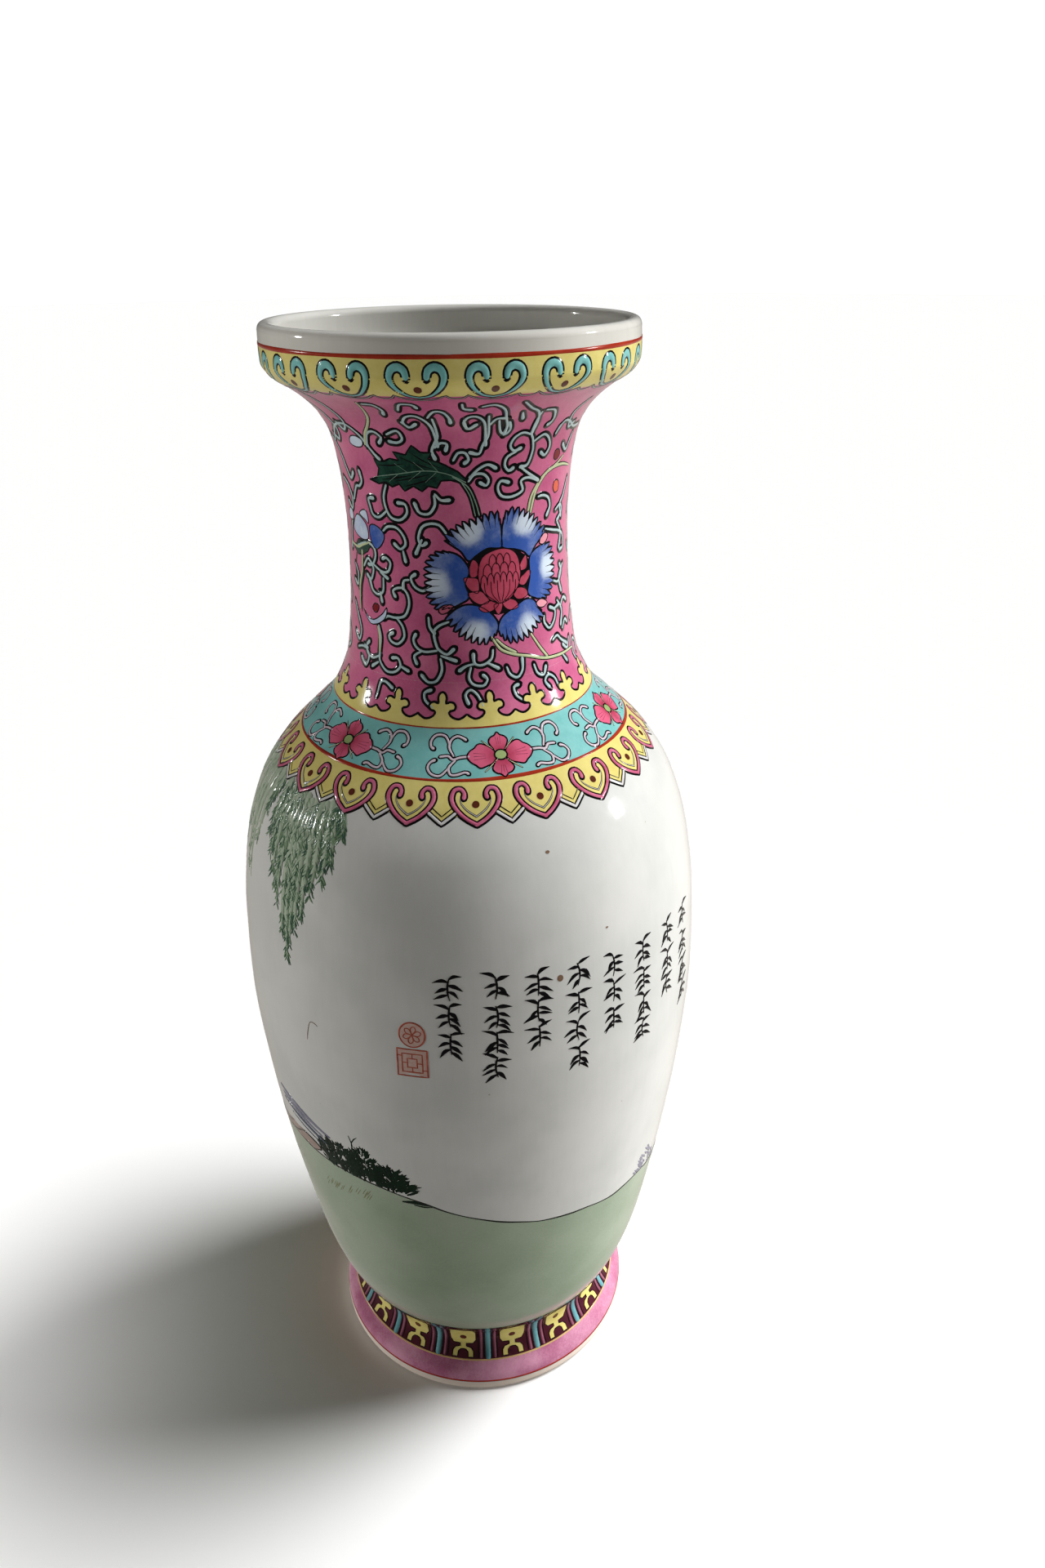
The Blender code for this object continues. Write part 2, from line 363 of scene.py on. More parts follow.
EDGE = 0.0012
body_glaze = glaze("body_glaze", BODY_WHITE, BODY_SHADE)
shelf = BASE - 4.0 * GAP
collar = inner(Z_FOOT) + 0.5 * WALL
foot_out = outer(0.0) - SINK
foot_in = outer(0.0) - FOOT_WALL
corner = [math.pi * i / 12 for i in range(7)]
turned("foot_ring_glazed", [
    ("outer", [(outer(z) - SINK, z) for z in reversed(heights(EDGE, Z_FOOT, 40))]),
    ("edge", [(foot_out - EDGE * (1.0 - math.cos(a)), EDGE * (1.0 - math.sin(a))) for a in corner]),
    ("sole", [(foot_out - EDGE, 0.0), (foot_in + EDGE, 0.0)]),
    ("edge", [(foot_in + EDGE * (1.0 - math.sin(a)), EDGE * (1.0 - math.cos(a))) for a in corner]),
    ("inner", [(outer(z) - FOOT_WALL, z) for z in heights(EDGE, shelf, 12)]),
    ("ledge", [(outer(shelf) - FOOT_WALL, shelf), (collar, shelf)]),
    ("collar", [(collar, shelf), (collar, Z_FOOT)]),
    ("top", [(collar, Z_FOOT), (outer(Z_FOOT) - SINK, Z_FOOT)]),
], body_glaze, "foot_ring")

# ------------------------------------------------------------------ Slip in the joints
# Creamy porcelain slip brushed into the stepped joints before the sections were put together.
# It fires to the same white biscuit as the body, and the glaze hides it.
bench = Bench("fired_slip")
where = bench.place()
grain = bench.cloud(where, 900.0, 4.0)
bench.set(Base_Color=bench.blend(grain, srgb(216, 209, 196), srgb(196, 187, 172)),
          Roughness=0.75 + grain * 0.2, Normal=bench.bump(grain, 0.00015, 0.6))
for seam in ("foot_slip_seam", "belly_slip_seam", "shoulder_slip_seam", "mouth_slip_seam"):
    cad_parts[seam].data.materials.clear()
    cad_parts[seam].data.materials.append(bench.paint)

# ------------------------------------------------------------------ Lower body
# A deep bowl with its floor, thrown in white porcelain. Its base drops into the foot ring and
# its rim carries the tongue of the belly joint.
SLIP_LAYER = 0.0006
SHY = 0.5 * SLIP_LAYER + GAP
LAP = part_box("lower_body")[1].z - Z_BELLY
LIFT = SLIP_LAYER + 2.0 * GAP
SKIRT = 0.0004   # glaze that bridges the joint on the outside


def middle(z):
    """The radius half way through the wall, where a joint steps."""
    return 0.5 * (outer(z) + inner(z))


def tongue(z):
    """The stepped top edge of a section, from its inside outward."""
    return [
        ("top", [(inner(z + LAP), z + LAP), (middle(z + LAP) - SHY, z + LAP)]),
        ("step", [(middle(z + LAP) - SHY, z + LAP), (middle(z) - SHY, z)]),
        ("ledge", [(middle(z) - SHY, z), (outer(z) - SINK, z)]),
    ]


def rebate(z):
    """The stepped bottom edge of a section, from its outside inward, with its glaze skirt."""
    return [
        ("hem", [(outer(z) - SINK, z), (outer(z) - SKIRT, z)]),
        ("skirt", [(outer(z) - SKIRT, z), (outer(z) - SKIRT, z + LIFT)]),
        ("ledge", [(outer(z) - SKIRT, z + LIFT), (middle(z + LIFT) + SHY, z + LIFT)]),
        ("step", [(middle(z + LIFT) + SHY, z + LIFT), (middle(z + LAP + LIFT) + SHY, z + LAP + LIFT)]),
        ("top", [(middle(z + LAP + LIFT) + SHY, z + LAP + LIFT), (inner(z + LAP + LIFT), z + LAP + LIFT)]),
    ]


floor_top = BASE + FLOOR
hollow = 0.0180
turn_in = floor_top + hollow
BOWL_BENDS = ((0.35, 0.0), (0.62, 0.03), (0.76, 0.10), (0.86, 0.22), (0.94, 0.44))
inside_low = [(share * inner(turn_in), floor_top + up * hollow) for share, up in BOWL_BENDS]
turned("lower_body_glazed", tongue(Z_BELLY) + [
    ("outer", [(outer(z) - SINK, z) for z in reversed(heights(Z_FOOT, Z_BELLY, 110))]),
    ("hem", [(outer(Z_FOOT) - SINK, Z_FOOT), (outer(Z_FOOT) - SKIRT, Z_FOOT)]),
    ("skirt", [(outer(Z_FOOT) - SKIRT, Z_FOOT), (outer(Z_FOOT) - SKIRT, Z_FOOT + LIFT)]),
    ("ledge", [(outer(Z_FOOT) - SKIRT, Z_FOOT + LIFT), (collar - SHY, Z_FOOT + LIFT)]),
    ("plug", [(collar - SHY, Z_FOOT + LIFT), (collar - SHY, BASE)]),
    ("base", [(collar - SHY, BASE), (0.0, BASE)]),
    ("bowl", [(0.0, floor_top)] + inside_low + [(inner(z), z) for z in heights(turn_in, Z_BELLY + LAP, 40)]),
], body_glaze, "lower_body")

# ------------------------------------------------------------------ Upper body
# The shoulder section, thrown upside down and luted on at the belly while leather hard.
turned("upper_body_glazed", tongue(Z_NECK) + [
    ("outer", [(outer(z) - SINK, z) for z in reversed(heights(Z_BELLY, Z_NECK, 170))]),
] + rebate(Z_BELLY) + [
    ("inner", [(inner(z), z) for z in heights(Z_BELLY + LAP + LIFT, Z_NECK + LAP, 50)]),
], body_glaze, "upper_body")

# ------------------------------------------------------------------ Neck
# The waisted neck, thrown by itself and luted at both ends. Its inside is bare of enamel: the
# same greyish white glaze as the mouth runs down into it.
mouth_white = glaze("mouth_glaze", srgb(214, 213, 208), srgb(202, 201, 195), 0.07)
turned("neck_glazed", tongue(Z_MOUTH) + [
    ("outer", [(outer(z) - SINK, z) for z in reversed(heights(Z_NECK, Z_MOUTH, 100))]),
] + rebate(Z_NECK) + [
    ("inner", [(inner(z), z) for z in heights(Z_NECK + LAP + LIFT, Z_MOUTH + LAP, 30)]),
], mouth_white, "neck")

# ------------------------------------------------------------------ Mouth
# The dished mouth: a flare off the neck, a short upright band and a soft rounded lip.
LIP_SOFT = 0.0023
lip_in = outer(HEIGHT) - WALL


def quarter(centre, start, stop):
    """The rounded corner of the lip, angles in degrees from outward."""
    turns = [math.radians(start + (stop - start) * i / 8) for i in range(9)]
    return [(centre + LIP_SOFT * math.cos(a), HEIGHT - LIP_SOFT + LIP_SOFT * math.sin(a)) for a in turns]


dish_top = Z_MOUTH + 0.90 * (Z_BAND - Z_MOUTH)
dish = [(inner(z), z) for z in heights(Z_MOUTH + LAP + LIFT, dish_top, 26)]
turned("mouth_glazed", [
    ("lip", quarter(lip_in + LIP_SOFT, 180.0, 90.0) + quarter(outer(HEIGHT) - LIP_SOFT - SINK, 90.0, 0.0)),
    ("outer", [(outer(z) - SINK, z) for z in reversed(heights(Z_MOUTH, HEIGHT - LIP_SOFT, 64))]),
] + rebate(Z_MOUTH) + [
    ("inner", dish + [(lip_in - 0.22 * WALL, Z_BAND), (lip_in - 0.06 * WALL, Z_BAND + 0.2 * BAND_RISE),
                      (lip_in, Z_BAND + 0.4 * BAND_RISE), (lip_in, HEIGHT - LIP_SOFT)]),
], mouth_white, "mouth")

# ------------------------------------------------------------------ Foot band
# Upright panels in yellow and turquoise on a maroon ground, round the bottom of the body, over
# a mottled rose foot. Every enamel is a thin raised layer, laid with a brush and fired on.
def across(a, b):
    """The way from one point of the wall to another, in millimetres round and up it."""
    radius, slope = wall_at(0.5 * (a[1] + b[1]))
    return Vector((math.radians(b[0] - a[0]) * radius / MM, (b[1] - a[1]) * math.hypot(1.0, slope)))


def shifted(point, way):
    """A point moved by so many millimetres round and up the wall."""
    radius, slope = wall_at(point[1])
    return (point[0] + math.degrees(way.x * MM / radius), point[1] + way.y / math.hypot(1.0, slope))


UNDERLAY = 0.045   # every enamel is at least this thick
TUCK = -0.02       # the rim of an enamel ends this far down in the glaze
EVEN = 0.5         # the tone half way between an enamel's deep colour and its pale one


def on_wall(point, lift, lean=(0.0, 0.0)):
    """Where a point lies in space, lifted off the glaze, and its normal leaning by two angles."""
    radius, slope = wall_at(point[1])
    tilt = math.hypot(1.0, slope)
    a = math.radians(point[0])
    out = Vector((math.sin(a) / tilt, -math.cos(a) / tilt, -slope / tilt))
    lift = lift + UNDERLAY if lift > 0.0 else lift
    place = Vector(((radius - SINK) * math.sin(a), -(radius - SINK) * math.cos(a), point[1] * MM))
    round_it = Vector((math.cos(a), math.sin(a), 0.0))
    up_it = out.cross(round_it) * -1.0
    if up_it.z < 0.0:
        up_it = -up_it
    normal = (out + round_it * math.tan(lean[0]) + up_it * math.tan(lean[1])).normalized()
    return place + out * (lift * MM), normal


def flow(points, step=0.8, soft=True):
    """A line through the given points, smooth or cornered, in even steps of so many mm."""
    points = [tuple(p) + (1.0,) * (3 - len(p)) for p in points]
    ends = [points[0]] + points + [points[-1]]
    line = []
    for a, b, c, d in zip(ends, ends[1:], ends[2:], ends[3:]):
        count = max(1, round(across(b, c).length / step))
        for i in range(count):
            t = i / count
            if soft:
                line.append(tuple(0.5 * (2 * q + (r - p) * t + (2 * p - 5 * q + 4 * r - s) * t * t
                                         + (3 * q - p - 3 * r + s) * t ** 3)
                                  for p, q, r, s in zip(a, b, c, d)))
            else:
                line.append(tuple(q + (r - q) * t for q, r in zip(b, c)))
    line.append(points[-1])
    return line


ROOF = ((-1.0, -0.02, -60.0), (-0.72, 0.8, -22.0), (0.0, 1.0, 0.0), (0.72, 0.8, 22.0), (1.0, -0.02, 60.0))
RIDGE = ((-1.0, -0.02, -60.0), (-0.5, 1.0, -15.0), (0.5, 1.0, 15.0), (1.0, -0.02, 60.0))
CAP = ((1.0, 0.05), (0.85, 0.53), (0.5, 0.87))


class Brush:
    """One enamel on the outside of the vase: the lines, filled shapes and belts laid with it."""

    def __init__(self, name, paint, slot, lift):
        self.name, self.paint, self.slot, self.lift = name, paint, slot, lift
        self.verts, self.normals, self.faces, self.tones = [], [], [], []

    def dab(self, point, lift, tone, lean=(0.0, 0.0)):
        """One corner of the layer."""
        place, normal = on_wall(point, lift, lean)
        self.verts.append(place)
        self.normals.append(normal)
        self.tones.append(tone)
        return len(self.verts) - 1

    def stroke(self, points, width, soft=True, step=0.8, lift=None):
        """A line with round ends; a third number at a point is its share of the full width."""
        lift = self.lift if lift is None else lift
        line = flow(points, step, soft)
        stations = []
        for i, point in enumerate(line):
            along = across(line[max(i - 1, 0)], line[min(i + 1, len(line) - 1)])
            if along.length > 1e-6:
                stations.append((point, along.normalized(), 0.5 * width * point[2]))
        if len(stations) < 2:
            return
        (first, way_in, w0), (last, way_out, w1) = stations[0], stations[-1]
        start = [(shifted(first, way_in * -w0 * back), way_in, w0 * share) for back, share in CAP]
        stop = [(shifted(last, way_out * w1 * on), way_out, w1 * share) for on, share in reversed(CAP)]
        shape = ROOF if width >= 0.9 else RIDGE
        rows = []
        for point, way, half in start + stations + stop:
            side = Vector((way.y, -way.x))
            rows.append([self.dab(shifted(point, side * off * half), lift * up, EVEN,
                                  (math.radians(lean) * side.x, math.radians(lean) * side.y))
                         for off, up, lean in shape])
        for below, above in zip(rows, rows[1:]):
            for i in range(len(shape) - 1):
                self.faces.append((below[i], below[i + 1], above[i + 1], above[i]))

    def patch(self, outline, tone=None, cell=2.0, lift=None):
        """A filled shape inside a closed outline, with a fine enough net to follow the wall."""
        lift = self.lift if lift is None else lift
        middle_up = sum(p[1] for p in outline) / len(outline)
        stretch_round = math.radians(1.0) * wall_at(middle_up)[0] / MM
        flat = [Vector((p[0] * stretch_round, p[1])) for p in outline]
        edges = [(i, (i + 1) % len(flat)) for i in range(len(flat))]
        low_x, high_x = min(p.x for p in flat), max(p.x for p in flat)
        low_y, high_y = min(p.y for p in flat), max(p.y for p in flat)
        net = []
        for j in range(int((high_y - low_y) / cell) + 1):
            for i in range(int((high_x - low_x) / cell) + 1):
                net.append(Vector((low_x + (i + 0.5 * (j % 2) + 0.31) * cell, low_y + (j + 0.37) * cell)))
        net = [p for p in net if enclosed(p, flat) and clear(p, flat, 0.4 * cell)]
        points, _, faces, _, _, _ = geometry.delaunay_2d_cdt(flat + net, edges, [], 1, 1e-4)
        start = len(self.verts)
        for p in points:
            point = (p.x / stretch_round, p.y)
            self.dab(point, lift, tone(point) if tone else EVEN)
        rim = {}
        for face in faces:
            a, b, c = (points[i] for i in face[:3])
            if (b - a).cross(c - a) < 0.0:
                face = list(reversed(face))
            self.faces.append([start + i for i in face])
            for i, j in zip(face, list(face[1:]) + [face[0]]):
                if (j, i) in rim:
                    del rim[(j, i)]
                else:
                    rim[(i, j)] = True
        foot = {}
        for i, j in rim:
            for k in (i, j):
                if k not in foot:
                    point = (points[k].x / stretch_round, points[k].y)
                    foot[k] = self.dab(point, TUCK, self.tones[start + k])
            self.faces.append((start + j, start + i, foot[i], foot[j]))

    def belt(self, low, high, rows, step=2.0):
        """A layer all round the vase between two heights, either of them free to change."""
        count = round(360.0 / step)
        columns = []
        for k in range(count):
            u = k * 360.0 / count
            bottom = low(u) if callable(low) else low
            top = high(u) if callable(high) else high
            levels = [bottom] + [bottom + (top - bottom) * i / rows for i in range(rows + 1)] + [top]
            lifts = [TUCK] + [self.lift] * (rows + 1) + [TUCK]
            columns.append([self.dab((u, v), up, EVEN) for v, up in zip(levels, lifts)])
        for here, there in zip(columns, columns[1:] + columns[:1]):
            for i in range(len(here) - 1):
                self.faces.append((here[i], there[i], there[i + 1], here[i + 1]))

    def fire(self):
        """Makes the layer into a piece of its own, riding on the vase."""
        mesh = bpy.data.meshes.new(self.name)
        mesh.from_pydata(self.verts, [], self.faces)
        mesh.polygons.foreach_set("use_smooth", [True] * len(self.faces))
        mesh.attributes.new("tone", "FLOAT", "POINT").data.foreach_set("value", self.tones)
        mesh.normals_split_custom_set_from_vertices(self.normals)
        mesh.materials.append(self.paint)
        piece = bpy.data.objects.new(self.name, mesh)
        bpy.context.scene.collection.objects.link(piece)
        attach(piece, "root")


def enclosed(p, outline):
    """Whether a point lies inside a closed outline."""
    inside = False
    for a, b in zip(outline, outline[1:] + outline[:1]):
        if (a.y > p.y) != (b.y > p.y) and p.x < a.x + (b.x - a.x) * (p.y - a.y) / (b.y - a.y):
            inside = not inside
    return inside


def clear(p, outline, gap):
    """Whether a point keeps a gap from every edge of a closed outline."""
    for a, b in zip(outline, outline[1:] + outline[:1]):
        way = b - a
        share = min(max((p - a).dot(way) / max(way.length_squared, 1e-9), 0.0), 1.0)
        if (a + way * share - p).length < gap:
            return False
    return True


def at(angle, points, side=1.0, rise=0.0):
    """The points of a motif moved round and up to its place; side -1 mirrors it."""
    return [(angle + side * p[0], rise + p[1], *p[2:]) for p in points]


def mirrored(half):
    """A closed outline from its right half, given from top to bottom."""
    return half + [(-p[0], *p[1:]) for p in reversed(half) if abs(p[0]) > 1e-6]


def softened(outline, step=0.6):
    """A closed outline with its corners turned into curves."""
    line = flow(outline[-2:] + outline + outline[:2], step)
    first = nearest(line, outline[0])
    last = nearest(line, outline[0], first + len(line) // 2)
    return [p[:2] for p in line[first:last]]


def nearest(line, point, start=0):
    """Which point of a line, from a start on, lies nearest to a point."""
    return min(range(start, len(line)), key=lambda i: across(line[i], point).length)


def oval(centre, wide, high, count=14):
    """A closed oval: its centre, half its width in degrees and half its height in mm."""
    return [(centre[0] + wide * math.cos(2.0 * math.pi * i / count),
             centre[1] + high * math.sin(2.0 * math.pi * i / count)) for i in range(count)]


def closed(outline):
    """An outline that comes back to its first point."""
    return outline + outline[:1]


def ring(height, swell=0.0, beat=0.0):
    """The points of a line all round the vase, as even as its swell lets it be."""
    return [(2.0 * k, height(2.0 * k) if callable(height) else height, 1.0 + swell * math.sin(beat * k))
            for k in range(181)]


def enamel(name, deep, pale, roughness=0.16, spread=0.7, grain=160.0):
    """A coloured lead-glass enamel that pools deeper here and paler there, over the brush's tone."""
    bench = Bench(name)
    where = bench.place()
    tone = bench.add("ShaderNodeAttribute", {"attribute_name": "tone"}, None, 2)
    pool = bench.cloud(where, grain)
    fine = bench.cloud(where, 1100.0, 2.0)
    amount = bench.between(tone + (pool - 0.5) * spread + (fine - 0.5) * (0.3 * spread), 0.1, 0.9)
    skin = bench.cloud(where, 45.0, 1.0) + bench.cloud(where, 260.0, 2.0) * 0.3 + fine * 0.12
    bench.set(Base_Color=bench.blend(amount, deep, pale), Roughness=(roughness - 0.07) + fine * 0.08,
              Normal=bench.bump(skin, SKIN_DEPTH, SKIN_SHARE))
    return bench.paint


ink = enamel("ink_black", srgb(6, 5, 8), srgb(16, 14, 17), 0.18)
yellow = enamel("yellow_enamel", srgb(210, 195, 108), srgb(228, 217, 140), 0.15)
turquoise = enamel("turquoise_enamel", srgb(104, 176, 176), srgb(140, 200, 198), 0.14)
iron_red = enamel("iron_red_line", srgb(138, 32, 22), srgb(176, 60, 36), 0.2)
maroon = enamel("maroon_enamel", srgb(52, 16, 28), srgb(88, 36, 50), 0.17)
rose = enamel("rose_enamel", srgb(182, 80, 124), srgb(212, 120, 156), 0.15, 1.0, 70.0)
scroll_pale = enamel("scroll_enamel", srgb(150, 182, 188), srgb(196, 212, 212), 0.15)
white_enamel = enamel("arsenic_white", srgb(196, 196, 196), srgb(222, 220, 222), 0.15)
brown = enamel("brown_dot", srgb(72, 30, 20), srgb(104, 50, 34), 0.2)

SEVENTEENTH = 360.0 / 17
FOOT_PHASE = -10.4
ground = Brush("foot_band_maroon", maroon, "foot_enamel", 0.05)
ground.belt(14.9, 41.0, 26)
ground.fire()
panels = Brush("foot_band_yellow", yellow, "foot_enamel", 0.11)
bars = Brush("foot_band_turquoise", enamel("foot_turquoise", srgb(84, 140, 150), srgb(120, 172, 180)),
             "foot_enamel", 0.11)
stripes = Brush("foot_band_stripes", enamel("foot_stripe", srgb(120, 62, 82), srgb(160, 104, 124)),
                "foot_enamel", 0.10)
lines = Brush("foot_band_lines", ink, "foot_enamel", 0.19)
dots = Brush("foot_band_dots", brown, "foot_enamel", 0.15)
PANEL = mirrored([(0.0, 37.0), (5.0, 37.0), (5.4, 30.0), (5.2, 23.0), (4.2, 21.5), (1.3, 21.3), (1.3, 19.9),
                  (3.4, 19.3), (4.3, 18.0), (4.4, 15.6), (2.3, 15.6), (2.1, 17.6), (1.2, 18.6), (0.0, 18.8)])
BESIDE_BARS = ((stripes, 2.9, (15.8, 40.0), 1.5), (lines, 1.6, (15.6, 40.4), 0.5),
               (lines, 4.0, (15.6, 40.4), 0.4))
for k in range(17):
    here = FOOT_PHASE + k * SEVENTEENTH
    panels.patch(at(here, PANEL), cell=2.6)
    lines.stroke(closed(at(here, PANEL)), 0.5, soft=False)
    dots.patch(at(here, oval((0.0, 25.3), 1.5, 1.6)))
    middle_bar = here + 0.5 * SEVENTEENTH
    bars.stroke([(middle_bar, 15.9), (middle_bar, 40.0)], 3.0, soft=False, step=1.6)
    for side in (-1.0, 1.0):
        for brush, away, ends, width in BESIDE_BARS:
            brush.stroke([(middle_bar + side * away, v) for v in ends], width, soft=False, step=1.6)
lines.stroke(ring(40.9), 0.7, step=3.0)
for brush in (panels, bars, stripes, lines, dots):
    brush.fire()
foot_rose = Brush("foot_rose",
                  enamel("foot_rose_enamel", srgb(166, 92, 126), srgb(208, 150, 176), 0.15, 1.5, 55.0),
                  "foot_enamel", 0.05)
foot_rose.belt(6.0, 14.6, 10)
foot_rose.fire()
foot_line = Brush("foot_yellow_line", enamel("foot_ochre", srgb(186, 150, 96), srgb(220, 190, 132)),
                  "foot_enamel", 0.12)
foot_line.stroke(ring(14.7), 0.9, step=3.0)
foot_line.fire()
foot_red = Brush("foot_red_line", iron_red, "foot_enamel", 0.12)
foot_red.stroke(ring(5.9), 1.15, step=3.0)
foot_red.fire()

# ------------------------------------------------------------------ Grassy bank
# A thin pale green wash for a bank of grass that falls away to the right, edged with one ink
# line, with darker grass strokes, two grey-violet strokes of distance and a rosy rock.
BANK = ((-76, 141.0), (-60, 144.0), (-46, 144.5), (-30, 144), (-20, 141.5), (-14, 139), (-10, 136.3),
        (-5, 133.5), (0, 131), (5, 128.5), (10, 126.5), (15, 124.3), (20, 123), (25, 121.8), (30, 120.8),
        (35, 118.8), (40, 117.3), (45, 117.2), (50, 116.5), (55, 114.8), (60, 112), (75, 108), (95, 104),
        (120, 107), (150, 118), (180, 126), (205, 129), (235, 136), (262, 139), (284, 141.0))
bank_line = flow(BANK, 1.5)


def bank(angle):
    """Height of the top of the bank at an angle."""
    angle = (angle + 76.0) % 360.0 - 76.0
    for a, b in zip(bank_line, bank_line[1:]):
        if a[0] <= angle <= b[0]:
            return a[1] + (b[1] - a[1]) * (angle - a[0]) / max(b[0] - a[0], 1e-6)
    return bank_line[0][1]


green_wash = enamel("green_wash", srgb(147, 164, 141), srgb(174, 187, 168), 0.16, 1.0, 26.0)
wash = Brush("bank_wash", green_wash, "body_glaze", 0.05)
wash.belt(41.2, bank, 60)
wash.fire()
soft_ink = enamel("soft_ink", srgb(24, 26, 25), srgb(58, 60, 56), 0.2)
edge = Brush("bank_edge", soft_ink, "body_glaze", 0.11)
edge.stroke([(u, v, 0.75 + 0.25 * math.sin(u * 0.33)) for u, v in BANK], 1.0, step=1.2)
edge.fire()

dice = random.Random(7)
foliage = enamel("bottle_green", srgb(2, 19, 11), srgb(14, 44, 28), 0.18)
bushes = Brush("bushes", foliage, "body_glaze", 0.11)


def bush(brush, centre, half, low, top, count, length=3.0):
    """A mound of upright leaf strokes, thick at the bottom and feathery at the top."""
    for _ in range(count):
        out = dice.uniform(-1.0, 1.0)
        up = dice.random() ** 0.8
        crown = low + (top - low) * (1.0 - 0.5 * out * out) * up
        root = (centre + half * out, crown - 0.3 * length)
        lean = Vector((out * 1.2 + dice.uniform(-0.9, 0.9), dice.uniform(0.6, 1.3)))
        lean = lean * length * dice.uniform(0.5, 1.0)
        tip = shifted(root, lean)
        mid = shifted(root, lean * 0.5 + Vector((dice.uniform(-0.3, 0.3), 0.0)))
        brush.stroke([(*root, 0.7), (*mid, 1.0), (*tip, 0.15)], dice.uniform(0.9, 1.5), step=1.2)


bush(bushes, -38.0, 6.2, 146.5, 160.5, 230)
bush(bushes, -30.5, 4.2, 145.5, 163.0, 190)
bush(bushes, -23.2, 5.0, 144.0, 157.0, 190)
bush(bushes, -31.0, 11.0, 144.5, 151.0, 150)
for here, half, top in ((108.0, 9.0, 126.0), (122.0, 7.0, 131.0), (226.0, 8.0, 154.0), (238.0, 6.0, 158.0)):
    bush(bushes, here, half, bank(here) + 1.0, top, 210)
bushes.stroke([(-33.6, 160.0, 0.8), (-33.3, 164.0), (-33.9, 168.0, 0.3)], 0.7)
bushes.stroke([(-33.3, 164.5, 0.8), (-32.4, 167.0), (-31.4, 168.8, 0.3)], 0.6)
bushes.stroke([(-20.5, 138.4, 0.6), (-17.0, 139.2, 1.3), (-13.5, 138.6, 0.5)], 2.2)
bushes.stroke([(-17.5, 137.6, 0.5), (-15.0, 137.4), (-13.0, 137.8, 0.4)], 1.2)
bushes.fire()

grass = Brush("grass_strokes", enamel("olive_wash", srgb(116, 122, 84), srgb(146, 152, 116)), "body_glaze",
              0.09)
for k in range(26):
    u = dice.uniform(-47.0, -29.0)
    v = 128.0 + (u + 47.0) * 0.4 + dice.uniform(-1.0, 2.5)
    grass.stroke([(u - 0.6, v - 1.8, 0.5), (u, v), (u + 1.0, v + 2.6, 0.2)], 0.6, step=1.2)
for k in range(120):
    u = dice.uniform(70.0, 300.0)
    v = bank(u) - dice.uniform(4.0, 30.0)
    grass.stroke([(u - 0.5, v - 1.6, 0.5), (u, v), (u + 0.8, v + 2.0, 0.2)], 0.6, step=1.2)
grass.fire()

distance_wash = enamel("violet_wash", srgb(112, 112, 134), srgb(150, 150, 166), 0.16, 1.0)
far = Brush("distance_strokes", distance_wash, "body_glaze", 0.09)
for up, start, stop, wide in ((165.5, -63.0, -41.0, 3.6), (162.6, -62.0, -44.0, 3.2)):
    far.stroke([(start, up, 0.4), (0.6 * start + 0.4 * stop, up - 1.0),
                (stop, up - 4.0 * (stop - start) / 20.0 - 0.6, 0.3)],
               wide, step=1.4)
for k in range(46):
    u = dice.uniform(50.0, 64.0)
    v = bank(u) + dice.uniform(0.0, 13.0) * (1.0 - abs(u - 57.0) / 9.0)
    far.stroke([(u, v, 0.8), (u - 0.8, v + 1.6), (u - 1.8, v + 3.2, 0.2)], 1.2, step=1.2)
far.fire()
shore = Brush("distance_shore", enamel("shore_slate", srgb(64, 72, 92), srgb(96, 104, 124), 0.17),
              "body_glaze", 0.11)
shore.stroke([(-62, 160.0, 0.4), (-54, 158.6), (-47, 156.8), (-42, 154.6, 0.4)], 1.9, step=1.4)
shore.stroke([(-58, 156.4, 0.3), (-50, 154.6), (-45, 152.8, 0.3)], 0.9, step=1.4)
shore.fire()
rock = Brush("rock", enamel("rock_wash", srgb(140, 118, 110), srgb(180, 158, 150), 0.17, 1.0), "body_glaze",
             0.08)
ROCK = ((-70, 139), (-66, 146), (-60, 149.5), (-53, 151.5), (-47, 150.5), (-45.5, 148), (-48, 145.2),
        (-56, 144), (-64, 141))
rock.patch(ROCK)
rock.patch(at(190.0, ROCK, -1.0))
rock.fire()
rock_ink = Brush("rock_lines", soft_ink, "body_glaze", 0.12)
for side, shift in ((1.0, 0.0), (-1.0, 190.0)):
    rock_ink.stroke(at(shift, [(-64, 142, 0.4), (-58, 146), (-53, 150.8), (-47.5, 150.2, 1.2),
                               (-46, 148, 1.2), (-48.5, 145.6, 0.5)], side), 1.0)
    rock_ink.stroke(at(shift, [(-70, 138.5, 0.5), (-66, 143.5), (-60, 148.6, 0.4)], side), 0.8)
rock_ink.fire()

# ------------------------------------------------------------------ Willow
# Willow fronds that hang from under the shoulder border: short leaf strokes in bottle green over
# a pale wash, with hazier fronds behind them.
haze = Brush("willow_wash", enamel("willow_haze", srgb(150, 170, 146), srgb(178, 190, 172), 0.16, 1.0),
             "body_glaze", 0.05)
near_leaf = Brush("willow_leaves", enamel("willow_green", srgb(72, 106, 80), srgb(122, 150, 116), 0.18, 1.2),
                  "body_glaze", 0.09)
fine_leaf = Brush("willow_shadow_leaves", enamel("willow_dark", srgb(34, 68, 56), srgb(68, 102, 82), 0.18),
                  "body_glaze", 0.12)


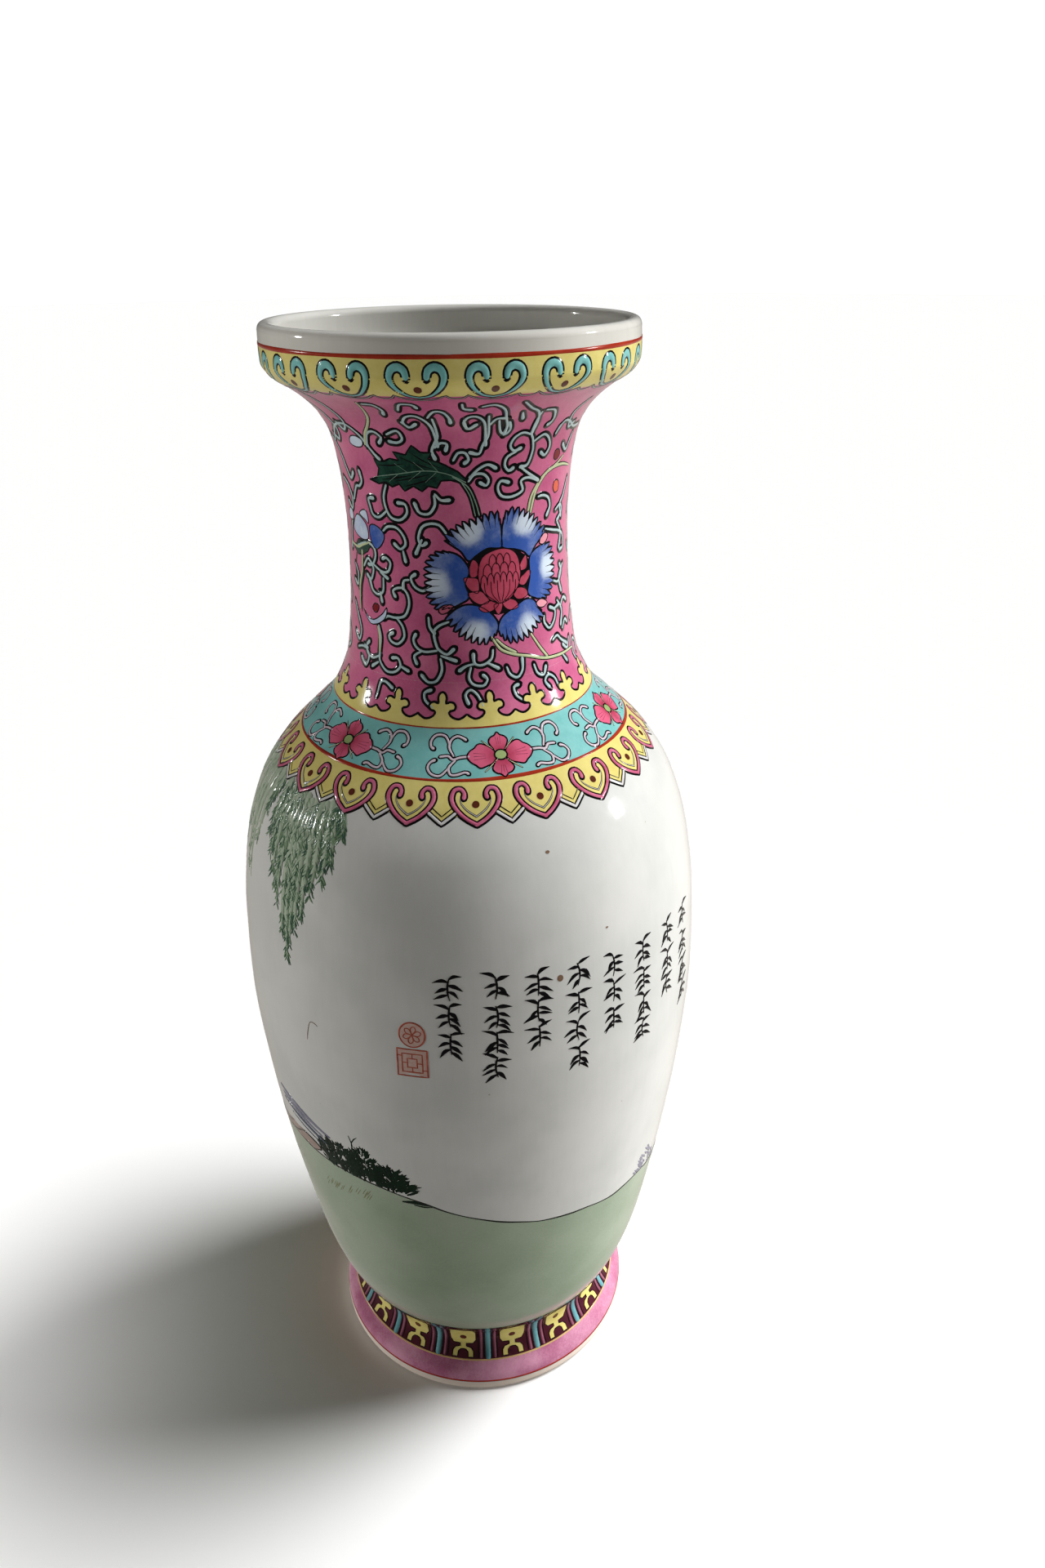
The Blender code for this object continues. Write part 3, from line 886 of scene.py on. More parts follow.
def frond(top, tip, leaves, brushes, size=1.0, wide=4.4):
    """One hanging branch of willow: a streak of wash and short leaves drooping off both sides."""
    bend = (top[0] * 0.45 + tip[0] * 0.55 + dice.uniform(-1.0, 1.0), 0.5 * (top[1] + tip[1]))
    path = flow([top, bend, tip], 1.0)
    haze.stroke([(*top, 1.0), (*bend, 0.9), (tip[0], tip[1] + 2.0, 0.3)], wide, step=2.0)
    for _ in range(leaves):
        share = dice.random() ** 0.85
        u, v, _ = path[int(share * (len(path) - 1))]
        side = dice.choice((-1.0, 1.0))
        spread = wide * (1.0 - 0.75 * share)
        start = shifted((u, v), Vector((side * dice.uniform(0.0, 0.5) * spread, dice.uniform(-0.5, 0.5))))
        way = Vector((side * dice.uniform(0.3, 1.0), -dice.uniform(0.7, 1.5)))
        way = way * size * dice.uniform(1.2, 2.1)
        dice.choice(brushes).stroke([(*start, 0.5), (*shifted(start, way * 0.5), 1.0),
                                     (*shifted(start, way), 0.2)],
                                    dice.uniform(0.5, 0.8) * size, step=1.2)


CLUMP = ((-61, 304, -61.5, 285), (-57.5, 305, -58.5, 279), (-54, 305, -54.5, 268), (-52, 303, -53.0, 262),
         (-50, 303, -50.2, 253), (-48, 302, -48.0, 243), (-47, 300, -47.2, 249), (-46, 303, -45.4, 256),
         (-44, 303, -43.4, 263), (-42, 303, -41.0, 272), (-40, 304, -37.8, 279), (-38, 304, -35.6, 286),
         (-37, 304, -34.0, 295), (-65, 303, -66.5, 291), (-56, 300, -56.0, 273))
for shift, leaves, brushes in ((0.0, 84, [near_leaf, near_leaf, fine_leaf]),
                               (228.0, 60, [near_leaf, near_leaf, fine_leaf]),
                               (196.0, 44, [near_leaf, haze, fine_leaf]),
                               (298.0, 44, [near_leaf, haze, fine_leaf])):
    for a, b, c, d in CLUMP:
        frond((a + shift, b), (c + shift, d), leaves, brushes, 1.15)
for k in range(9):
    u = -68.0 - 3.6 * k
    frond((u, 304.0), (u + dice.uniform(-1.0, 1.5), dice.uniform(252.0, 282.0)), 40, [haze, haze, near_leaf],
          1.2, 5.0)
for brush in (haze, near_leaf, fine_leaf):
    brush.fire()

# ------------------------------------------------------------------ Ink sprigs
# Columns of little bamboo sprigs in ink that read from top to bottom where a verse is often put;
# they are leaves and stand for nothing. Beside them are two small red stamps, a rosette and a fret.
sprigs = Brush("ink_sprigs", ink, "body_glaze", 0.10)
COLUMNS = ((-5.5, (248, 237, 225)), (4.5, (248, 236, 225, 214)), (14.0, (247, 236, 225)),
           (23.5, (247, 235, 223, 211)), (33.0, (245, 234, 222)), (43.0, (244, 232, 220, 209)),
           (53.0, (244, 231, 220)), (63.0, (243, 230, 218, 207)))


def sprig(angle, height):
    """A short bowed stem with pointed leaves drooping off it, by turns on either side."""
    bow = dice.uniform(-0.9, 0.9)
    side = dice.choice((-1.0, 1.0))
    centre = (angle, height)

    def along_stem(share):
        return shifted(centre, Vector((bow * (1.0 - 4.0 * share * share), share * 8.8)))

    stem = ((0.52, 0.5), (0.2, 1.0), (-0.15, 0.9), (-0.5, 0.4))
    sprigs.stroke([(*along_stem(share), weight) for share, weight in stem], 0.8)
    for i in range(dice.choice((6, 7))):
        root = along_stem(0.46 - 0.14 * i)
        turn = math.radians(dice.uniform(-50.0, -10.0) if i > 1 else dice.uniform(-5.0, 30.0))
        way = Vector((side * math.cos(turn), math.sin(turn))) * dice.uniform(4.3, 6.2)
        bend = Vector((-way.y, way.x)) * side * dice.uniform(0.04, 0.16)
        side = -side
        sprigs.stroke([(*root, 0.3), (*shifted(root, way * 0.4 + bend), 1.0), (*shifted(root, way), 0.1)],
                      dice.uniform(1.35, 1.85), step=0.6)


for angle, rows in COLUMNS:
    for height in rows:
        sprig(angle, height)
sprigs.fire()

stamp_red = enamel("stamp_red", srgb(150, 62, 48), srgb(188, 104, 86), 0.22, 1.2, 400.0)
stamps = Brush("red_stamps", stamp_red, "body_glaze", 0.10)
ROUND = (-14.2, 228.0)
SQUARE = (-14.4, 215.5)
stamps.stroke(closed(oval(ROUND, 2.9, 5.3, 20)), 0.75)
for k in range(6):
    turn = 2.0 * math.pi * k / 6 + 0.3
    tip = (ROUND[0] + 2.1 * math.cos(turn), ROUND[1] + 3.8 * math.sin(turn))
    left = (ROUND[0] + 1.5 * math.cos(turn + 0.4), ROUND[1] + 2.7 * math.sin(turn + 0.4))
    right_side = (ROUND[0] + 1.5 * math.cos(turn - 0.4), ROUND[1] + 2.7 * math.sin(turn - 0.4))
    stamps.stroke([ROUND, left, tip, right_side, ROUND], 0.6, step=0.5)
for half, tall in ((3.4, 6.0), (2.3, 4.1), (1.1, 2.0)):
    u, v = SQUARE
    stamps.stroke([(u - half, v - tall), (u + half, v - tall), (u + half, v + tall), (u - half, v + tall),
                   (u - half, v - tall)],
                  0.7, soft=False)
for a, b in (((-2.3, 0.0), (-1.1, 0.0)), ((1.1, 0.0), (2.3, 0.0)), ((0.0, 2.0), (0.0, 4.1)),
             ((0.0, -2.0), (0.0, -4.1)),
             ((-3.4, 3.0), (-2.3, 3.0)), ((3.4, -3.0), (2.3, -3.0))):
    stamps.stroke(at(SQUARE[0], [a, b], 1.0, SQUARE[1]), 0.6, soft=False)
stamps.fire()
stamp_wash = Brush("stamp_wash",
                   enamel("stamp_blush", srgb(196, 158, 146), srgb(214, 190, 182), 0.18, 1.0, 500.0),
                   "body_glaze", 0.04)
stamp_wash.patch(oval(ROUND, 2.8, 5.2, 20))
stamp_wash.patch(at(SQUARE[0], ((-3.3, -5.9), (3.3, -5.9), (3.3, 5.9), (-3.3, 5.9)), 1.0, SQUARE[1]))
stamp_wash.fire()
marks = Brush("kiln_specks", enamel("kiln_speck", srgb(96, 74, 58), srgb(150, 120, 98)), "body_glaze", 0.06)
marks.stroke([(-42.6, 211, 0.4), (-42.2, 215.0), (-41.2, 220, 0.8), (-39.6, 220.4), (-38.8, 219.8, 0.3)],
             0.42)
marks.patch(oval((19.2, 247.5), 0.7, 1.3))
marks.patch(oval((19.3, 293.2), 0.5, 0.5))
marks.patch(oval((32.0, 261.2), 0.35, 0.35))
marks.fire()

# ------------------------------------------------------------------ Shoulder border
# Nineteen ruyi heads in rose on a yellow ground, joined by white chevrons, hang from a red line.
# Above them is a turquoise collar with six rose flowers and curling stems between two red lines.
RUYI_PHASE = 2.2
NINETEENTH = 360.0 / 19
COLLAR_TOP = 329.4


def red_line(angle):
    """The lower red line wavers, as a hand-turned line does."""
    return 315.0 + 0.5 * math.cos(math.radians(angle + 10.0)) - 0.2 * math.cos(math.radians(3.0 * angle))


def chevron(angle):
    """Lower edge of the yellow: down to a point under each head and between each two heads."""
    return 303.6 + 6.0 * abs(((angle - RUYI_PHASE) / NINETEENTH * 2.0 + 0.5) % 1.0 - 0.5)


heads = Brush("ruyi_yellow", yellow, "body_glaze", 0.05)
heads.belt(chevron, red_line, 14, step=NINETEENTH / 8.0)
heads.fire()
hearts = Brush("ruyi_hearts", enamel("ruyi_rose", srgb(176, 62, 100), srgb(214, 128, 158), 0.15),
               "body_glaze", 0.16)
whites = Brush("ruyi_white", white_enamel, "body_glaze", 0.13)
ruyi_ink = Brush("ruyi_ink", ink, "body_glaze", 0.11)
ruyi_dots = Brush("ruyi_dots", brown, "body_glaze", 0.13)
HALF_HEART = ((0.0, 303.6, 1.0), (2.2, 304.9, 1.0), (4.4, 306.7, 1.05), (6.3, 309.0, 1.15),
              (6.9, 311.0, 1.2), (6.1, 312.8, 1.15), (4.3, 313.1, 1.1), (3.2, 312.0, 1.1), (3.3, 311.0, 1.3))
for k in range(19):
    here = RUYI_PHASE + k * NINETEENTH
    for side in (-1.0, 1.0):
        half = at(here, HALF_HEART, side)
        ruyi_ink.stroke(half, 2.75, step=0.7)
        hearts.stroke(half, 1.45, step=0.7)
        inner_v = at(here, ((0.0, 305.9), (2.4, 307.5), (4.0, 309.2, 0.8), (4.5, 310.4, 0.4)), side)
        ruyi_ink.stroke(inner_v, 0.9, step=0.7, lift=0.12)
        whites.stroke(inner_v, 0.35, step=0.7, lift=0.15)
    between_heads = here + 0.5 * NINETEENTH
    vee = at(between_heads, ((-3.5, 306.7), (0.0, 303.9), (3.5, 306.7)))
    ruyi_ink.stroke(vee, 2.5, soft=False, lift=0.09)
    whites.stroke(vee, 1.25, soft=False, lift=0.12)
    ruyi_ink.stroke([(u, v + 2.1) for u, v in vee], 0.55, soft=False, lift=0.12)
    ruyi_dots.patch(oval((here, 309.1), 1.05, 0.95))
for brush in (hearts, whites, ruyi_ink, ruyi_dots):
    brush.fire()

collar_ground = Brush("collar_turquoise", turquoise, "body_glaze", 0.05)
collar_ground.belt(red_line, COLLAR_TOP, 24)
collar_ground.fire()
red_lines = Brush("collar_red_lines", iron_red, "body_glaze", 0.12)
red_lines.stroke(ring(red_line, 0.25, 0.21), 1.5, step=3.0)
red_lines.stroke(ring(COLLAR_TOP, 0.2, 0.17), 1.4, step=2.0)
red_lines.fire()
blossoms = Brush("collar_blossoms", enamel("blossom_rose", srgb(152, 28, 58), srgb(212, 98, 130), 0.15, 0.4),
                 "body_glaze", 0.13)
collar_stems = Brush("collar_stems", enamel("stem_pink", srgb(196, 176, 190), srgb(214, 206, 214)),
                     "body_glaze", 0.16)
collar_ink = Brush("collar_ink", ink, "body_glaze", 0.10)
sepals = Brush("collar_sepals", enamel("sepal_cream", srgb(200, 200, 150), srgb(222, 218, 190)),
               "body_glaze", 0.17)
centres = Brush("collar_centres", enamel("centre_green", srgb(120, 150, 90), srgb(170, 190, 130)),
                "body_glaze", 0.19)
TOP_PETAL = ((1.0, 0.4), (3.6, 3.4), (2.6, 4.8), (1.2, 5.2), (0.0, 6.1), (-1.2, 5.2), (-2.6, 4.8),
             (-3.6, 3.4), (-1.0, 0.4))
SIDE_PETAL = ((1.2, 0.0), (3.2, 2.0), (6.4, 3.2), (8.2, 3.0), (9.2, 2.2), (11.0, 1.4), (12.0, 0.0),
              (10.8, -1.3), (9.0, -2.2), (7.6, -3.0), (5.6, -2.6), (3.0, -1.8))
COLLAR_STEMS = (((11.5, 0.1), (14.5, -0.1), (17.0, -0.6), (18.6, 0.3), (21.2, 0.1)),
                ((16.8, 0.4, 0.8), (18.4, 2.6), (17.6, 4.7), (15.4, 5.6), (13.4, 5.1), (12.4, 4.6, 1.2)),
                ((18.2, 3.0, 0.8), (20.0, 5.6), (23.4, 5.9), (25.4, 4.3), (25.2, 2.6), (24.4, 2.2, 1.3)),
                ((16.2, -0.9, 0.8), (18.2, -2.6), (17.6, -4.4), (15.6, -4.5), (13.0, -3.9),
                 (11.9, -4.2, 1.2)),
                ((18.6, -3.0, 0.8), (21.0, -4.8), (23.8, -4.4), (25.3, -2.8), (24.6, -1.4),
                 (23.4, -0.9, 1.3)))


def petal_tone(centre, reach):
    """Deep at the heart of a flower and paler towards the petal tips."""
    return lambda p: 0.15 + 0.75 * min(across(centre, p).length / reach, 1.0)


for k in range(6):
    centre = (12.2 + 60.0 * k, 321.2)
    for shape, side, over in ((TOP_PETAL, 1.0, 1.0), (TOP_PETAL, 1.0, -0.95), (SIDE_PETAL, 1.0, 1.0),
                              (SIDE_PETAL, -1.0, 1.0)):
        outline = [(centre[0] + side * u, centre[1] + over * v) for u, v in shape]
        blossoms.patch(outline, petal_tone(centre, 8.0), 1.2)
        collar_ink.stroke(closed(outline), 0.85, step=0.6, lift=0.17)
        far_end = outline[4] if shape is TOP_PETAL else outline[6]
        across_tip = (1.2, 0.0) if shape is TOP_PETAL else (0.0, 1.1)
        for spread in (-1.0, 0.0, 1.0):
            vein = [tuple(heart * (1 - t) + end * t + spread * t * aside
                          for heart, end, aside in zip(centre, far_end, across_tip)) for t in (0.45, 0.8)]
            collar_ink.stroke([(*vein[0], 0.5), (*vein[1], 1.0)], 0.25, step=0.8, lift=0.14)
    for a in (-1.0, 1.0):
        for b in (-1.0, 1.0):
            sepal = [(centre[0] + a * 1.5, centre[1] + b * 1.0), (centre[0] + a * 6.2, centre[1] + b * 4.0)]
            collar_ink.stroke([(*sepal[0], 1.0), (*sepal[1], 0.5)], 1.3, soft=False, lift=0.12)
            sepals.stroke([(*sepal[0], 1.0), (*sepal[1], 0.4)], 0.65, soft=False)
    collar_ink.patch(oval(centre, 2.6, 1.5), lift=0.17)
    centres.patch(oval(centre, 2.0, 1.1))
    for side in (-1.0, 1.0):
        for stem in COLLAR_STEMS:
            line = at(centre[0], stem, side, centre[1])
            collar_ink.stroke(line, 2.2, step=0.7)
            collar_stems.stroke(line, 1.0, step=0.7)
for brush in (blossoms, collar_stems, collar_ink, sepals, centres):
    brush.fire()

# ------------------------------------------------------------------ Yellow crown at the root of the neck
# A yellow collar whose upper edge rises into seventeen trefoils, edged with an ink line.
CROWN_PHASE = -9.7
crown = Brush("crown_yellow", yellow, "neck_enamel", 0.13)
crown.belt(COLLAR_TOP, 332.1, 5)
crown_ink = Brush("crown_ink", ink, "neck_enamel", 0.20)
HALF_TREFOIL = ((0.0, 340.6), (1.3, 340.0), (1.9, 338.6), (1.7, 336.9), (3.2, 337.3), (4.9, 337.1),
                (5.9, 335.9), (5.2, 334.8), (3.6, 334.5), (3.0, 334.0), (3.6, 333.0), (5.2, 332.2),
                (7.2, 331.9), (9.0, 332.5), (0.5 * SEVENTEENTH, 333.3))
rim = []
for k in range(17):
    here = CROWN_PHASE + k * SEVENTEENTH
    left = [(here - u, v) for u, v in reversed(HALF_TREFOIL)]
    right_half = [(here + u, v) for u, v in HALF_TREFOIL[1:]]
    bottom = [(here + (0.5 - i / 8) * SEVENTEENTH, 331.0) for i in range(9)]
    crown.patch(left + right_half + bottom, cell=1.5, lift=0.14)
    rim += left + right_half[:-1]
rim.append((rim[0][0] + 360.0, rim[0][1]))
crown_ink.stroke(rim, 1.1, step=0.6)
for brush in (crown, crown_ink):
    brush.fire()

# ------------------------------------------------------------------ Neck scrolls
# The rose ground of the neck, made with gold, and over it the pale curling stems, each laid in
# ink first and filled with a pale blue-green. The same growth is painted again round the back.
neck_rose = Brush("neck_rose_ground", rose, "neck_enamel", 0.09)
neck_rose.belt(331.0, 442.0, 130)
neck_rose.fire()

CURLS = (
    # upper left
    ((-68.5, 423.2), (-61.5, 428.2), (-51.5, 430.2), (-45, 427.6), (-41, 423.8)),
    ((-41, 423.8), (-39, 427.6), (-35, 428.8), (-32, 427), (-33.5, 425.2)),
    ((-28.5, 428.2), (-23.5, 429.6), (-22, 427), (-24.5, 425.6), (-28, 425.8)),
    ((-41, 423.8), (-38.5, 421.4), (-36, 419.6)),
    # top
    ((-8, 433.8), (-7, 428.2), (-8.5, 425.8), (-10, 423.2), (-9, 420.8)),
    ((-8.5, 424.4), (-6, 425.8), (-3.5, 425.4), (-4, 423.6)),
    ((12.5, 434.4), (13.5, 428.2), (11.5, 424.8), (10, 422), (6.5, 422.4)),
    ((-1, 420.2), (1, 422.4), (4, 422.4), (5.5, 420.2), (4, 419.2)),
    ((17, 432.6), (18.5, 428.8), (21, 428), (22.5, 429.6), (21.5, 431.6)),
    ((34, 434.4), (33.5, 427.6), (35, 425.2), (36, 421.4), (34, 417), (30.5, 416.4)),
    ((33, 427), (29, 427.8), (25.5, 426.4), (24, 423.8), (26, 422), (29, 422.6)),
    ((36, 424.4), (41, 426.2), (45, 424.4), (46.5, 421.4), (44, 419), (41.5, 420)),
    ((27, 421.6), (23, 420.2), (22, 417.6), (24, 415.6), (26, 416.2)),
    ((30, 416.4), (35, 413.8), (41, 411)),
    ((41, 410.8), (35, 412.4), (31, 411.6), (32, 408.4), (26.5, 406.8), (21, 407.4), (19, 410.2),
     (20.5, 412.4), (24, 411.8)),
    ((3.5, 433.2), (5, 430.4), (8, 431.6)),
    ((-20, 432.6), (-17.5, 431), (-15, 432)),
    # beside the leaf
    ((-34.5, 410.8), (-36.5, 407), (-36, 403.2), (-33.5, 400.2), (-28.5, 399.6), (-24.5, 402), (-25, 405),
     (-28.5, 405.4)),
    ((-36, 402), (-41, 399.6), (-45, 400.2), (-46.5, 403.2), (-47, 405.4), (-44, 405.8)),
    ((-10.5, 408.2), (-10.5, 405.2), (-13.5, 402.4), (-18, 402.6), (-20, 405.4)),
    ((-10, 408.8), (-7.5, 407), (-4, 407)),
    ((-6, 396), (-9, 398.6), (-13.5, 399), (-17.5, 397.6), (-19.5, 393.8), (-18, 391.4), (-16, 392.2)),
    ((-18, 393.2), (-21, 388.8)),
    ((-39, 395.2), (-36, 396.8), (-31, 396.8), (-27.5, 394.4), (-26.5, 391.4), (-29.5, 389.6), (-32.5, 391)),
    ((-28, 388.8), (-27, 385.8)),
    ((5.5, 413.2), (8, 415.2), (12, 415.2), (14.5, 413.2), (13.5, 411.4), (11, 412.2)),
    ((6, 414.4), (10, 417), (14, 418.2), (17.5, 417)),
    # lower left
    ((-61.5, 387.4), (-56, 388.8), (-51, 389.6), (-46.5, 388.2), (-46, 385.2), (-48.5, 382.4), (-51.5, 382)),
    ((-47.5, 382.4), (-41.5, 380.6), (-37.5, 381.2), (-36, 384.2), (-38.5, 385.8), (-40.5, 385.4)),
    ((-42.5, 380.2), (-38.5, 378.8)),
    ((-41, 378.2), (-41.5, 373.8), (-45, 372.2), (-49, 373.2), (-51, 376.4)),
    ((-43.5, 373), (-42.5, 370.2)),
    ((-15.5, 377), (-18.5, 375.8), (-22.5, 377), (-24.5, 379.8), (-22.5, 381.2)),
    ((-26, 379.2), (-28.5, 378.6), (-29, 376.2)),
    ((-29, 376.2), (-32.5, 375.8), (-35, 374.6), (-34, 373)),
    ((-29, 376.2), (-26.5, 373.8), (-26, 370.2), (-28.5, 366.4), (-33.5, 365.2), (-38.5, 365.2),
     (-41, 364.4)),
    ((-33.5, 365.2), (-30, 362.6), (-29, 358.8), (-32.5, 356), (-36.5, 356.4), (-38, 358.2), (-36, 359.4)),
    ((-45, 360.8), (-43.5, 357), (-44, 351.4), (-43.5, 348.2), (-39, 345.4), (-34, 345.8), (-31, 348.2),
     (-32.5, 350.8), (-35.5, 350.6)),
    ((-44, 350.2), (-49, 348.6), (-53, 349.6), (-54.5, 352), (-52.5, 353.8)),
    ((-62.5, 350.2), (-58.5, 351.2), (-54, 351.4)),
    ((-45, 347.6), (-48.5, 345.8)),
    ((-31, 348.2), (-27, 347)),
    ((-16, 366.4), (-15.5, 363.2), (-13.5, 361.4)),
    ((-6.5, 365.2), (-11, 363.8), (-13.5, 361.4), (-12.5, 357), (-11, 355.2), (-7.5, 353.8), (-4.5, 355.4)),
    ((-10, 353.2), (-3.5, 351.6)),
    ((-12.5, 355), (-18.5, 354.4), (-22.5, 355.8), (-24, 358.2), (-23, 360)),
    ((-20, 354.4), (-23.5, 352.6), (-22.5, 350.2)),
    ((-10.5, 352), (-10, 348.2), (-12.5, 344.4), (-16.5, 343.8), (-19.5, 345.8)),
    ((-42.5, 336.4), (-42, 340.8), (-39, 341.6), (-35, 340.2)),
    # under the flower
    ((14.5, 354.4), (13.5, 351.4), (9, 349.6), (5.5, 350.4), (5, 353.4)),
    ((5.5, 350.2), (1.5, 349.6), (-1.5, 348.2)),
    ((12, 350), (16.5, 348)),
    ((3.5, 348.8), (2.5, 345.4), (4.5, 343), (9, 342.4), (11, 344.4), (9.5, 345.8)),
    ((21, 347.6), (22.5, 345), (26, 343.6), (29, 345.8), (29.5, 349.6)),
    ((36, 346.4), (37.5, 343.2), (41, 342), (43, 344.4)),
    ((45.5, 362.4), (45.5, 360.2), (49, 357.6), (53.5, 359.6), (55, 363), (51, 364.8)),
    ((55, 363.8), (59, 364.4)),
    ((51, 352.8), (55, 353.6), (58.5, 351.4), (64, 348.8)),
    # right
    ((42.5, 405.2), (46, 405.2), (50, 403.8), (51.5, 400.8), (49.5, 398.2)),
    ((57.5, 398.8), (62.5, 400), (64.5, 397.4), (60, 395)),
    ((49, 393.2), (55, 392), (61.5, 390.8), (66.5, 388.8), (67.5, 384.4), (63.5, 383.8)),
    ((55, 373.8), (60, 372.8), (64, 375.8), (62.5, 378.4)),
    ((50, 427), (52.5, 429.6), (57.5, 428.8), (63.5, 426.6), (70, 426.4)),
    ((49, 425.8), (50.5, 428)),
    ((61, 363.2), (65, 365.8), (69, 364.4)),
    ((61.5, 355.2), (65, 357.6), (67.5, 356.4)),
    ((58.5, 345.4), (61, 343)),
    # between the trefoils
    ((-14, 335.4), (-17.5, 337.6), (-18, 340), (-15.5, 341)),
    ((8, 336), (6, 339.4), (3, 341.2), (0.6, 339.6), (1.6, 337)),
    ((27, 335.6), (24, 337.6), (23.4, 340.4), (25.4, 341)),
    ((48.5, 336.4), (47.5, 339.6), (44, 341.4), (41, 339.8), (42.4, 337.6)),
    # in the cove under the mouth
    ((-18, 431), (-19.5, 432.6), (-17.5, 434.6), (-13.5, 434.8), (-9.5, 432), (-8, 428), (-7.4, 425)),
    ((-9.5, 434.5), (-7, 436.5), (-4, 436.3), (-2, 434.4), (-1.5, 432.8)),
    ((4.4, 430.6), (3.4, 432.6), (5.2, 434.4), (8.4, 434.4), (11.2, 432.4), (12.2, 429), (12.6, 425)),
    ((9.6, 438), (13.6, 438.4), (17.6, 436.6), (19.4, 433.6), (20.8, 430.6), (20.2, 428.2)),
    ((13.6, 431.6), (15.8, 433.4), (19.2, 433.4)),
    ((25.4, 434.8), (26.4, 433.0)),
    ((24, 438.6), (28, 436.4), (32.4, 434.6), (34.4, 431.4), (33.6, 427.6)),
    ((36, 435), (40, 434.6), (42.6, 432.2), (42.6, 430.4), (41.2, 429.6)),
    ((-31, 438.6), (-27.4, 438.4), (-25.2, 436.8), (-25.5, 435.4)),
    ((-19, 437), (-17.4, 439), (-13.6, 439), (-12.4, 438)),
    ((2.6, 439), (3.2, 437.4), (5.6, 437)),
    # towards the left and right edges
    ((-70, 436), (-64, 433), (-60, 428), (-62, 424), (-66, 425)),
    ((-58, 440), (-53, 436), (-50, 431), (-53, 428), (-56, 430)),
    ((-72, 424), (-67, 420), (-63, 414), (-60, 411), (-57, 413)),
    ((-70, 410), (-65, 408), (-62, 404), (-64, 400), (-67, 402)),
    ((-60, 404), (-56, 408.6), (-53, 409), (-50.4, 411), (-51, 414)),
    ((-66, 396), (-69, 392), (-70, 386)),
    ((-66, 380), (-63, 377), (-64, 373), (-67, 374)),
    ((-56, 381), (-52, 384), (-48, 381), (-50, 377), (-53, 378)),
    ((-68, 366), (-64, 362), (-60, 357), (-62, 353), (-66, 355)),
    ((-56, 352), (-52, 349), (-54, 345), (-58, 347)),
    ((60, 436), (56, 432), (58, 427), (62, 428)),
    ((66, 424), (62, 419), (58, 421)),
    ((70, 408), (66, 403), (62, 400), (64, 396)),
    ((60, 394), (64, 390), (62, 385)),
    ((66, 378), (61, 374), (63, 369)),
    ((58, 366), (62, 362), (60, 357)),
    ((68, 350), (64, 347), (60, 349)),
)
BACK_CURLS = (
    ((74, 340), (71, 344), (74, 348), (79, 346), (78, 343)),
    ((76, 396), (80, 400), (86, 399), (88, 395), (85, 393)),
    ((88, 395), (92, 390), (97, 391), (99, 395), (96, 397)),
    ((80, 372), (84, 376), (90, 375), (93, 370), (90, 366), (86, 368)),
    ((93, 370), (99, 372), (104, 369), (103, 365)),
    ((77, 416), (83, 420), (90, 418), (92, 413), (88, 411)),
    ((92, 413), (98, 415), (103, 411), (101, 407)),
    ((74, 356), (79, 359), (85, 357), (87, 352), (83, 350)),
    ((92, 352), (97, 356), (103, 354), (105, 349), (101, 347)),
    ((84, 386), (90, 384), (96, 386), (101, 383), (100, 379)),
    ((76, 384), (79, 381), (83, 383)),
    ((95, 426), (98, 430), (103, 429), (104, 425)),
    ((80, 430), (84, 433), (89, 431), (88, 428)),
)
scroll_ink = Brush("neck_scroll_ink", ink, "neck_enamel", 0.125)
scrolls = Brush("neck_scrolls", scroll_pale, "neck_enamel", 0.16)


def outlined(dark, pale, points, width, line):
    """A pale line laid over a wider dark one, which shows as an even edge on both sides."""
    whole = width + line
    dark.stroke([(u, v, (share * width + line) / whole) for u, v, share in points], whole, step=0.7)
    pale.stroke(points, width, step=0.7)


def scroll(points):
    """A curling stem, thin where it starts and swelling at its end."""
    shares = [0.85] + [1.0] * (len(points) - 2) + [1.5]
    outlined(scroll_ink, scrolls, [(*p, share) for p, share in zip(points, shares)], 1.15, 2.6)


for turn in (0.0, 180.0):
    for curl in CURLS + BACK_CURLS:
        scroll(at(turn, curl))
scroll_ink.fire()
scrolls.fire()

